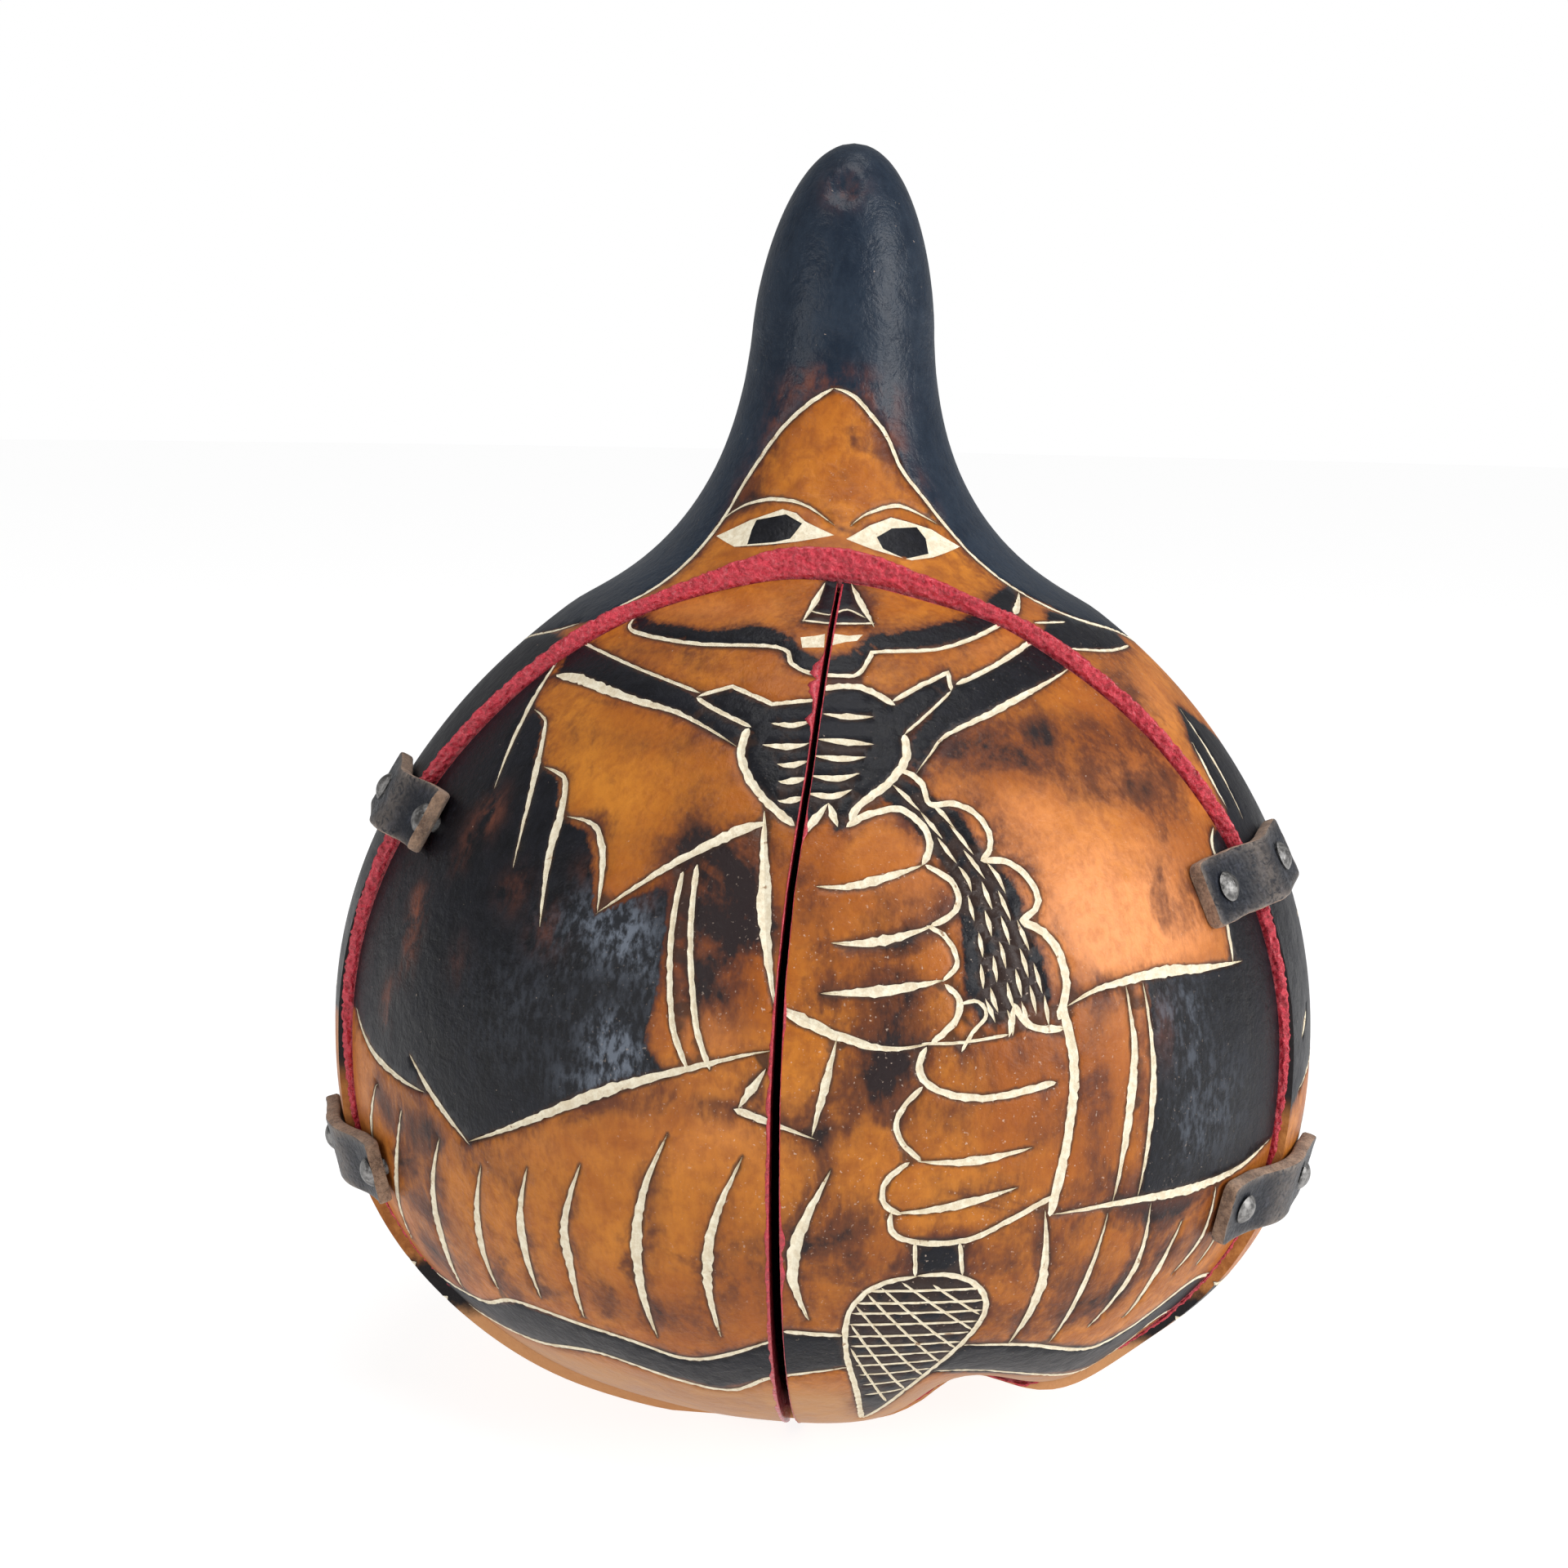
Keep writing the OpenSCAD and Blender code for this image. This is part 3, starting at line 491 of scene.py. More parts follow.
RUST = [
    (-51.4, 75.5, 1.5, 4, 1.3), (-53, 79, 1.2, 2, .8), (-55, 64, 1.2, 2.6, 1.2), (-44, 93, 2, 2.4, 1.1),
    (-46, 88, 1.4, 2.4, .6), (-28.4, 79.7, 2, 2, .8), (-35, 84, 2, 2, .6), (-15.6, 86.4, 1.6, 1.4, .9),
    (-24, 88, 2, 1.6, .6), (-41, 73.4, 1.4, 2, .4), (43, 67, 2, 3, .5), (-3, 183.6, 2.0, 1.8, .8),
    (0, 155.6, 4, 1.0, .9), (-17, 153.4, 3, 1.4, .9), (-31, 148.4, 1.4, 3, .9), (-42, 139, 1.0, 4, .5),
    (22, 152.4, 3, 1.4, .9), (34, 146, 1.4, 3, .9), (46, 138, 1.0, 3, .5), (-150, 60, 5, 5, .6),
    (104, 62, 3, 4, .5),
]
SPECKS = [
    (8, 64, 20, 18, 1.0), (16, 42, 16, 12, 1.0), (60, 112, 14, 6, .8), (10, 80, 12, 14, .6),
    (-12, 60, 8, 8, .3), (55, 90, 8, 8, .5), (6, 138, 3, 3, 1.0), (36, 55, 18, 16, .4),
]


# Longest step along a cut, and how uneven its two edges are
CUT_STEP, RAGGED = 0.75, 0.42
# How full a cut is for its width
LINE_FILL, GOUGE_FILL = 0.66, 0.86


def dots(count, seed):
    """Even pseudo-random numbers from 0 to 1 that are the same on each run."""
    return np.random.default_rng(seed).random(count)


def flat_points(points):
    """A list of (turn, height) in the even plane."""
    return flat(*np.array(points, float).T)


def bend(points, smooth):
    """Points along a cut, less than a millimetre apart on the surface, in the even plane."""
    p = flat_points(points)
    spans = []
    for i in range(len(p) - 1):
        a, b, c, d = p[max(i - 1, 0)], p[i], p[i + 1], p[min(i + 2, len(p) - 1)]
        height = np.interp((b + c)[1] / 2, OUT_W, OUT_R)
        steps = max(2, math.ceil(np.linalg.norm(c - b) * height / BELLY_R / CUT_STEP))
        t = np.arange(steps)[:, None] / steps
        if smooth:
            span = 0.5 * (2 * b + (c - a) * t + (2 * a - 5 * b + 4 * c - d) * t**2 + (3 * b - a - 3 * c + d) * t**3)
        else:
            span = b + (c - b) * t
        spans.append(span)
    return np.concatenate(spans + [p[-1:]])


def ribbon(cut, seed):
    """Centre line and half widths of a cut in the even plane, with its ragged left and right edges.

    Gouges and lines thin out evenly to both ends. A wedge starts thick and thins out slowly.
    """
    width, taper, smooth, points = cut
    c = bend(points, smooth)
    local = BELLY_R / np.interp(c[:, 1], OUT_W, OUT_R)
    t = np.concatenate([[0], np.cumsum(np.linalg.norm(np.diff(c, axis=0), axis=1))])
    length = t[-1] / local.mean()
    t = t / t[-1]
    if taper == WEDGE:
        shape = np.clip(t * 9, 0, 1) ** 0.5 * np.clip((1 - t) * 1.25, 0, 1) ** 0.8
    else:
        end = max(0.06, min(0.5, taper * (0.5 if taper == GOUGE else 3.0 / length)))
        shape = np.clip(np.minimum(t, 1 - t) / end, 0, 1) ** (0.75 if taper == GOUGE else 0.5)
    half = 0.5 * width * (LINE_FILL if taper == LINE else GOUGE_FILL) * shape * local
    along = np.gradient(c, axis=0)
    along /= np.linalg.norm(along, axis=1)[:, None] + 1e-9
    side = np.stack([-along[:, 1], along[:, 0]], 1)
    rough = 1 + RAGGED * (dots(2 * len(c), seed).reshape(2, -1) - 0.5)
    return c, half, c + side * (half * rough[0])[:, None], c - side * (half * rough[1])[:, None]


FIRST_SEED = 100
RIBBONS = [ribbon(cut, FIRST_SEED + i) for i, cut in enumerate(CUTS)]
# Wider cuts are deeper, up to a limit
SHALLOWEST, DEPTH_TO_WIDTH, DEEPEST = 0.2, 0.26, 0.62
CUT_DEPTH = [min(DEEPEST, SHALLOWEST + DEPTH_TO_WIDTH * cut[0]) for cut in CUTS]


def near_cuts(q, reach):
    """For points in the even plane: how deep the cuts are there, and how far off the nearest cut's edge is."""
    depth, away = np.zeros(len(q)), np.full(len(q), reach)
    local = np.interp(q[:, 1], OUT_W, OUT_R) / BELLY_R
    for (c, half, _l, _r), deepest in zip(RIBBONS, CUT_DEPTH):
        margin = reach / local.clip(0.02) + half.max()
        box = np.nonzero((q[:, 0] > c[:, 0].min() - margin) & (q[:, 0] < c[:, 0].max() + margin)
                         & (q[:, 1] > c[:, 1].min() - margin) & (q[:, 1] < c[:, 1].max() + margin))[0]
        if not len(box):
            continue
        p = q[box]
        best, wide = np.full(len(p), 1e9), np.zeros(len(p))
        for i in range(len(c) - 1):
            v = c[i + 1] - c[i]
            t = np.clip(((p - c[i]) @ v) / (v @ v + 1e-12), 0, 1)
            d = np.linalg.norm(p - c[i] - t[:, None] * v, axis=1)
            closer = d < best
            best[closer] = d[closer]
            wide[closer] = (half[i] + (half[i + 1] - half[i]) * t)[closer]
        depth[box] = np.maximum(depth[box], deepest * np.clip(1 - best / (wide + 1e-6), 0, 1))
        away[box] = np.minimum(away[box], (best - wide) * local[box])
    return depth, away


def inside(q, polygon):
    """Which points lie in a polygon."""
    result = np.zeros(len(q), bool)
    for a, b in zip(polygon, np.roll(polygon, -1, 0)):
        crosses = (a[1] > q[:, 1]) != (b[1] > q[:, 1])
        result ^= crosses & (q[:, 0] < (b[0] - a[0]) * (q[:, 1] - a[1]) / (b[1] - a[1] + 1e-12) + a[0])
    return result


def signed_distance(q, polygon):
    """Millimetres from points to a polygon's edge, more than 0 inside it."""
    best = np.full(len(q), 1e9)
    for a, b in zip(polygon, np.roll(polygon, -1, 0)):
        v = b - a
        t = np.clip(((q - a) @ v) / (v @ v + 1e-12), 0, 1)
        best = np.minimum(best, np.linalg.norm(q - a - t[:, None] * v, axis=1))
    best *= np.interp(q[:, 1], OUT_W, OUT_R) / BELLY_R
    return np.where(inside(q, polygon), best, -best)


def even_polygon(points):
    """A polygon in the even plane, with a point to each millimetre of its sides."""
    p, parts = flat_points(points), []
    for a, b in zip(p, np.roll(p, -1, 0)):
        n = max(1, round(np.linalg.norm(b - a) * np.interp(a[1], OUT_W, OUT_R) / BELLY_R))
        parts.append(a + (b - a) * np.arange(n)[:, None] / n)
    return np.concatenate(parts)


EYE_FLAT, IRIS_FLAT, LIP_FLAT = ([even_polygon(p) for p in fields] for fields in (EYES, IRISES, LIPS))
# How deep the chalked fields are scraped, and over what width their edges slope
FIELD_DEPTH, FIELD_SLOPE = 0.35, 0.5
# Grid points keep this far from a cut's edge, and this far from a field's
CUT_CLEAR, FIELD_CLEAR = 0.55, 0.5


def grid():
    """Even points over the outside, its first and last row, and the rows' ends along the seam at the back."""
    rows, ends = [], []
    s = 0.0
    while s < TIP_CUT_S:
        r, z, w = (np.interp(s, OUT_S, column) for column in (OUT_R, OUT_Z, OUT_W))
        step = 1.75 if z < 170 else 1.0
        count = max(10, round(2 * math.pi * r / step))
        turns = -180 + 360 * (np.arange(count) + 0.5 * (len(rows) % 2)) / count
        turns = turns[(turns > -180 + 120 / count) & (turns < 180 - 120 / count)]
        rows.append(np.stack([np.radians(turns) * BELLY_R, np.full(len(turns), w)], 1))
        ends.append((math.pi * BELLY_R, w))
        s += step
    right = np.array(ends)
    return np.concatenate(rows[1:-1]), rows[0], rows[-1], right * (-1, 1), right


def carve():
    """Triangulates the outside with every cut as an edge: even-plane points, triangles, and which are chalk."""
    inner, first, last, left, right = grid()
    away = near_cuts(inner, 2.0)[1]
    inner = inner[away > CUT_CLEAR]
    for field in EYE_FLAT + IRIS_FLAT + LIP_FLAT:
        inner = inner[np.abs(signed_distance(inner, field)) > FIELD_CLEAR]
    points, edges, quads = [], [], []

    def add(array):
        start = sum(len(a) for a in points)
        points.append(np.asarray(array, float))
        return start

    def chain(ids, closed=False):
        edges.extend(zip(ids[:-1], ids[1:]))
        if closed:
            edges.append((ids[-1], ids[0]))

    add(inner)
    a, b, lo, hi = add(left), add(right), add(first), add(last)
    chain(range(a, a + len(left)))
    chain(range(b, b + len(right)))
    chain([a] + list(range(lo, lo + len(first))) + [b])
    chain([a + len(left) - 1] + list(range(hi, hi + len(last))) + [b + len(right) - 1])
    for c, half, l, r in RIBBONS:
        ends = half < 1e-4
        m, n = add(c), len(c)
        li, ri = add(l[~ends]), add(r[~ends])
        chain(range(m, m + n))
        inner_ids = np.nonzero(~ends)[0]
        for start in (li, ri):
            ids = list(range(start, start + len(inner_ids)))
            chain(([m] if ends[0] else []) + ids + ([m + n - 1] if ends[-1] else []))
            if not ends[0]:
                edges.append((m, ids[0]))
            if not ends[-1]:
                edges.append((m + n - 1, ids[-1]))
        for i in range(n - 1):
            quads.append(np.array([l[i], r[i], r[i + 1], l[i + 1]]))
    for field in EYE_FLAT + IRIS_FLAT + LIP_FLAT:
        i = add(field)
        chain(list(range(i, i + len(field))), closed=True)
    everything = np.concatenate(points)
    out = delaunay_2d_cdt([Vector(p) for p in everything], edges, [], 0, 1e-4, False)
    q = np.array([(v.x, v.y) for v in out[0]])
    tri = np.array(out[2])
    v = q[tri]
    area = np.cross(v[:, 1] - v[:, 0], v[:, 2] - v[:, 0])
    tri[area < 0] = tri[area < 0][:, ::-1]
    tri = tri[np.abs(area) > 1e-7]
    centre = q[tri].mean(1)
    chalk = np.zeros(len(tri), bool)
    order = np.argsort(centre[:, 0])
    xs = centre[order, 0]
    for quad in quads:
        ids = order[np.searchsorted(xs, quad[:, 0].min()):np.searchsorted(xs, quad[:, 0].max())]
        ids = ids[(centre[ids, 1] >= quad[:, 1].min()) & (centre[ids, 1] <= quad[:, 1].max())]
        if len(ids):
            p = centre[ids]
            turns = np.array([np.cross(quad[(i + 1) % 4] - quad[i], p - quad[i]) for i in range(4)])
            chalk[ids[(turns >= -1e-9).all(0) | (turns <= 1e-9).all(0)]] = True
    field = np.zeros(len(tri), bool)
    for f in EYE_FLAT + LIP_FLAT:
        field |= inside(centre, f)
    for f in IRIS_FLAT:
        field &= ~inside(centre, f)
    return q, tri, chalk | field


def field_depth(q):
    """The chalked fields are scraped out evenly, with a short slope at their edges."""
    d = np.full(len(q), -1e9)
    for f in EYE_FLAT + LIP_FLAT:
        d = np.maximum(d, signed_distance(q, f))
    for f in IRIS_FLAT:
        d = np.minimum(d, -signed_distance(q, f))
    return FIELD_DEPTH * np.clip(d / FIELD_SLOPE, 0, 1)


Q, TRI, CHALK = carve()
EDGE_REACH = 3.0
DEPTH = np.maximum(near_cuts(Q, EDGE_REACH)[0], field_depth(Q))
TURN, S_AT = np.degrees(Q[:, 0] / BELLY_R), np.interp(Q[:, 1], OUT_W, OUT_S)


# ---------------------------------------------------------------- meshes
def new_object(name, data):
    obj = bpy.data.objects.new(name, data)
    bpy.context.scene.collection.objects.link(obj)
    return obj


def make_object(name, bm, materials, scale=MM):
    """An object in metres from a bmesh, which is in millimetres unless its scale says otherwise."""
    bmesh.ops.scale(bm, vec=(scale, scale, scale), verts=bm.verts)
    mesh = bpy.data.meshes.new(name)
    bm.to_mesh(mesh)
    bm.free()
    for m in materials:
        mesh.materials.append(m)
    return new_object(name, mesh)


def write_attribute(obj, name, values):
    """Stores a number for each vertex, for the materials to read."""
    attribute = obj.data.attributes.new(name, "FLOAT", "POINT")
    attribute.data.foreach_set("value", np.asarray(values, np.float32))


def coordinates(mesh):
    co = np.zeros(3 * len(mesh.vertices), np.float32)
    mesh.vertices.foreach_get("co", co)
    return co.reshape(-1, 3).astype(float) / MM


INNER_STRIDE, INNER_COUNT = 14, 128


def inner_wall():
    """The inside of the wall, as points and quads that face inwards, closed at both ends."""
    keep = OUT_S[::INNER_STRIDE]
    r_in = np.interp(keep, OUT_S, OUT_R - WALL * OUT_NR)
    z_in = np.interp(keep, OUT_S, OUT_Z - WALL * OUT_NZ)
    keep = keep[(r_in > 2.0) & (z_in < TOTAL_H - WALL - 0.3) & (z_in > WALL + 0.02)]
    count = INNER_COUNT
    turns = -180 + 360 * np.arange(count) / count
    rings = [on_gourd(turns, np.full(count, s), 0, WALL)[0] for s in keep]
    p = np.concatenate(rings + [lean(np.array([[0, 0, WALL], [0, 0, TOTAL_H - WALL]]))])
    faces = []
    for k in range(len(rings) - 1):
        for i in range(count):
            j = (i + 1) % count
            faces.append((k * count + i, (k + 1) * count + i, (k + 1) * count + j, k * count + j))
    n = len(rings) * count
    for i in range(count):
        j = (i + 1) % count
        faces.append((i, j, n))
        faces.append((n - count + j, n - count + i, n + 1))
    return p, faces


# Points beyond this turn are on the seam at the back, where the two ends of the even plane are joined
SEAM_TURN = 179.99


def whole_shell():
    """The closed gourd: carved outside (material 0) and inside (material 1)."""
    outer, _n = on_gourd(TURN, S_AT, DEPTH)
    bm = bmesh.new()
    verts = [bm.verts.new(p) for p in outer]
    foot, tip = bm.verts.new((0, 0, 0)), bm.verts.new(lean(np.array([[0, 0, TOTAL_H]]))[0])
    for a, b, c in TRI:
        bm.faces.new((verts[a], verts[b], verts[c]))
    bmesh.ops.remove_doubles(bm, verts=[v for v, t in zip(verts, TURN) if abs(t) > SEAM_TURN], dist=1e-3)
    for e in [e for e in bm.edges if e.is_boundary]:
        middle = (e.verts[0].co + e.verts[1].co) / 2
        loop = e.link_loops[0]
        bm.faces.new((loop.link_loop_next.vert, loop.vert, tip if middle.z > 100 else foot))
    for f in bm.faces:
        f.smooth = True
    p, faces = inner_wall()
    low = [bm.verts.new(q) for q in p]
    for f in faces:
        face = bm.faces.new([low[i] for i in f])
        face.material_index = 1
        face.smooth = True
    return bm


def slice_off(bm, point, normal, fill, material):
    """Removes what lies beyond a plane and closes the cut. The cut faces get their own material."""
    result = bmesh.ops.bisect_plane(
        bm, geom=bm.verts[:] + bm.edges[:] + bm.faces[:], dist=1e-4, plane_co=point, plane_no=normal, clear_outer=True)
    if fill == "ring":
        edges = [e for e in result["geom_cut"] if isinstance(e, bmesh.types.BMEdge) and e.is_boundary]
        new = bmesh.ops.triangle_fill(bm, use_beauty=True, edges=edges, normal=normal)["geom"]
        new = [f for f in new if isinstance(f, bmesh.types.BMFace)]
    else:
        edges = [e for e in bm.edges if e.is_boundary]
        new = bmesh.ops.holes_fill(bm, edges=edges, sides=0)["faces"]
    for f in new:
        f.material_index = material
        f.smooth = False
    for e in edges:
        if e.is_valid:
            e.smooth = False


def keep_part(bm, part, fill, material):
    """Cuts a closed form of the gourd down to the body or a door, and moves a door back into the opening.

    A "ring" cut has a hollow in it; a "lens" cut is made of separate whole patches.
    """
    if part == "body":
        slice_off(bm, (0, RIM_Y, 0), (0, -1, 0), fill, material)
        return
    side = DOORS[part]
    slice_off(bm, (0, CUT_Y, 0), (0, 1, 0), fill, material)
    # The slit strays sideways, so the form is sheared until the slit's edge is the middle plane
    for v in bm.verts:
        v.co.x -= slit_x(side, v.co.z)
    slice_off(bm, (0, 0, 0), (-side, 0, 0), fill, material)
    for v in bm.verts:
        v.co.x += slit_x(side, v.co.z)
        v.co.y += DOOR_SHIFT


# How far the chalk fills its cuts, stands proud at their edges and goes below their floor, and its crumbs
CHALK_SINK, CHALK_PROUD, CHALK_UNDER, CRUMB = 0.30, 0.03, 0.10, 0.06


def chalk_form():
    """All the chalk as closed forms that sit in the cuts, a little below the surface, with crumbs on top."""
    bm = bmesh.new()
    tri = TRI[CHALK]
    used = np.unique(tri)
    index = {v: i for i, v in enumerate(used)}
    depth = DEPTH[used]
    crumb = CRUMB * dots(len(used), 7) * (depth > 0.05)
    top, _n = on_gourd(TURN[used], S_AT[used], CHALK_SINK * depth + crumb - CHALK_PROUD)
    low, _n = on_gourd(TURN[used], S_AT[used], CHALK_UNDER + depth + crumb)
    upper, lower = [bm.verts.new(p) for p in top], [bm.verts.new(p) for p in low]
    sides = {}
    for t in tri:
        a = [index[v] for v in t]
        bm.faces.new([upper[i] for i in a])
        bm.faces.new([lower[i] for i in reversed(a)])
        for i, j in zip(a, a[1:] + a[:1]):
            if (j, i) in sides:
                del sides[(j, i)]
            else:
                sides[(i, j)] = True
    for i, j in sides:
        bm.faces.new((upper[j], upper[i], lower[i], lower[j]))
    for f in bm.faces:
        f.smooth = False
    return bm


PAINT_UNDER = 0.04


def paint_layer(name, part, p, direction, thickness, painted_darkness, loop=False):
    """A closed layer of paint on a grid of points: raised along direction, and sunk a little below."""
    rows, columns = p.shape[:2]
    top = p + direction * thickness[..., None]
    low = p - direction * PAINT_UNDER
    bm = bmesh.new()
    up = [[bm.verts.new(q) for q in row] for row in top]
    down = [[bm.verts.new(q) for q in row] for row in low]
    last = rows if loop else rows - 1
    for i in range(last):
        k = (i + 1) % rows
        for j in range(columns - 1):
            bm.faces.new((up[i][j], up[k][j], up[k][j + 1], up[i][j + 1])).smooth = True
            bm.faces.new((down[i][j], down[i][j + 1], down[k][j + 1], down[k][j]))
        bm.faces.new((up[k][0], up[i][0], down[i][0], down[k][0]))
        bm.faces.new((up[i][-1], up[k][-1], down[k][-1], down[i][-1]))
    if not loop:
        for j in range(columns - 1):
            bm.faces.new((up[0][j], up[0][j + 1], down[0][j + 1], down[0][j]))
            bm.faces.new((up[-1][j + 1], up[-1][j], down[-1][j], down[-1][j + 1]))
    bmesh.ops.recalc_face_normals(bm, faces=bm.faces)
    layer = make_object(name, bm, [PAINT])
    # How dark the paint is made as painted shade, once for each vertex on top and once below
    write_attribute(layer, "painted_shade", np.concatenate([painted_darkness.reshape(-1)] * 2))
    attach(layer, part)


# ---------------------------------------------------------------- materials
class Nodes:
    """Short names for the shader nodes that the materials use."""

    def __init__(self, name, **fixed):
        self.material = bpy.data.materials.new(name)
        self.material.use_nodes = True
        self.tree = self.material.node_tree
        self.shader = next(n for n in self.tree.nodes if n.type == "BSDF_PRINCIPLED")
        for key, value in fixed.items():
            self.shader.inputs[key.replace("_", " ")].default_value = value
        self.place = self.new("ShaderNodeTexCoord").outputs["Object"]

    def new(self, kind, **settings):
        node = self.tree.nodes.new(kind)
        for key, value in settings.items():
            setattr(node, key, value)
        return node

    def put(self, socket, value):
        if isinstance(value, bpy.types.NodeSocket):
            self.tree.links.new(value, socket)
        else:
            socket.default_value = value

    def noise(self, scale, detail=2.0, rough=0.5, twist=0.0, stretch=None):
        place = self.place
        if stretch:
            mapping = self.new("ShaderNodeMapping")
            self.put(mapping.inputs["Vector"], place)
            mapping.inputs["Scale"].default_value = stretch
            place = mapping.outputs["Vector"]
        node = self.new("ShaderNodeTexNoise")
        self.put(node.inputs["Vector"], place)
        for key, value in (("Scale", scale), ("Detail", detail), ("Roughness", rough), ("Distortion", twist)):
            node.inputs[key].default_value = value
        return node.outputs["Fac"]

    def cells(self, scale, feature="F1"):
        node = self.new("ShaderNodeTexVoronoi", feature=feature)
        self.put(node.inputs["Vector"], self.place)
        node.inputs["Scale"].default_value = scale
        return node.outputs["Distance"]

    def attribute(self, name):
        return self.new("ShaderNodeAttribute", attribute_name=name).outputs["Fac"]

    def math(self, operation, a, b):
        node = self.new("ShaderNodeMath", operation=operation)
        self.put(node.inputs[0], a)
        self.put(node.inputs[1], b)
        return node.outputs[0]

    def add(self, a, b):
        return self.math("ADD", a, b)

    def times(self, a, b):
        return self.math("MULTIPLY", a, b)

    def sum(self, *terms):
        """The sum of some (value, weight) terms."""
        parts = [self.times(value, weight) for value, weight in terms]
        while len(parts) > 1:
            parts[-2:] = [self.add(parts[-2], parts[-1])]
        return parts[0]

    def step(self, value, low, high, to_low=0.0, to_high=1.0):
        """Goes softly from one number to another while the value goes from low to high."""
        node = self.new("ShaderNodeMapRange", interpolation_type="SMOOTHSTEP")
        self.put(node.inputs["Value"], value)
        for key, number in (("From Min", low), ("From Max", high), ("To Min", to_low), ("To Max", to_high)):
            node.inputs[key].default_value = number
        return node.outputs["Result"]

    def mix(self, share, a, b):
        node = self.new("ShaderNodeMix", data_type="RGBA")
        self.put(node.inputs["Factor"], share)
        for socket, value in ((node.inputs[6], a), (node.inputs[7], b)):
            self.put(socket, value if isinstance(value, bpy.types.NodeSocket) else (*value, 1.0))
        return node.outputs[2]

    def finish(self, colour, rough, bump=None, strength=0.5, distance=0.0005):
        self.put(self.shader.inputs["Base Color"], colour)
        self.put(self.shader.inputs["Roughness"], rough)
        if bump is not None:
            node = self.new("ShaderNodeBump")
            node.inputs["Strength"].default_value = strength
            node.inputs["Distance"].default_value = distance
            self.put(node.inputs["Height"], bump)
            self.tree.links.new(node.outputs["Normal"], self.shader.inputs["Normal"])
        return self.material


# Colours of the gourd's skin, from the dark patches to the pale ones
# AMBER_PALE_LIT is partly painted light, for the bright pool on the right door
AMBER_DARK, AMBER, AMBER_GOLD, AMBER_PALE_LIT = (.36, .098, .011), (.58, .20, .022), (.58, .205, .022), (.80, .30, .10)
AMBER_SHADE, AMBER_GRAIN = (.24, .062, .011), (.24, .055, .010)
TAN_DARK, TAN = (.36, .155, .055), (.48, .235, .09)
SMOKE, SOOT = (.10, .027, .014), (.012, .009, .011)
CHAR_DARK, CHAR = (.0015, .0015, .003), (.007, .0075, .012)
# The bluish black of the neck is a painted reflection of the light
SLATE_SHEEN_DARK, SLATE_SHEEN = (.009, .016, .029), (.018, .029, .047)
# CHAR_SCRAPED_SHEEN is the blue-grey of scuffed black, partly a painted sheen
CHAR_RUST, CHAR_SCRAPED_SHEEN, CHAR_DUSTY = (.17, .05, .026), (.13, .15, .185), (.05, .055, .07)
FIELD_HAZE, FIELD_FRINGE, CUT_EDGE_DARK = (.15, .036, .012), (.07, .018, .011), (.035, .018, .013)
CHALK_DUST = (.72, .56, .45)


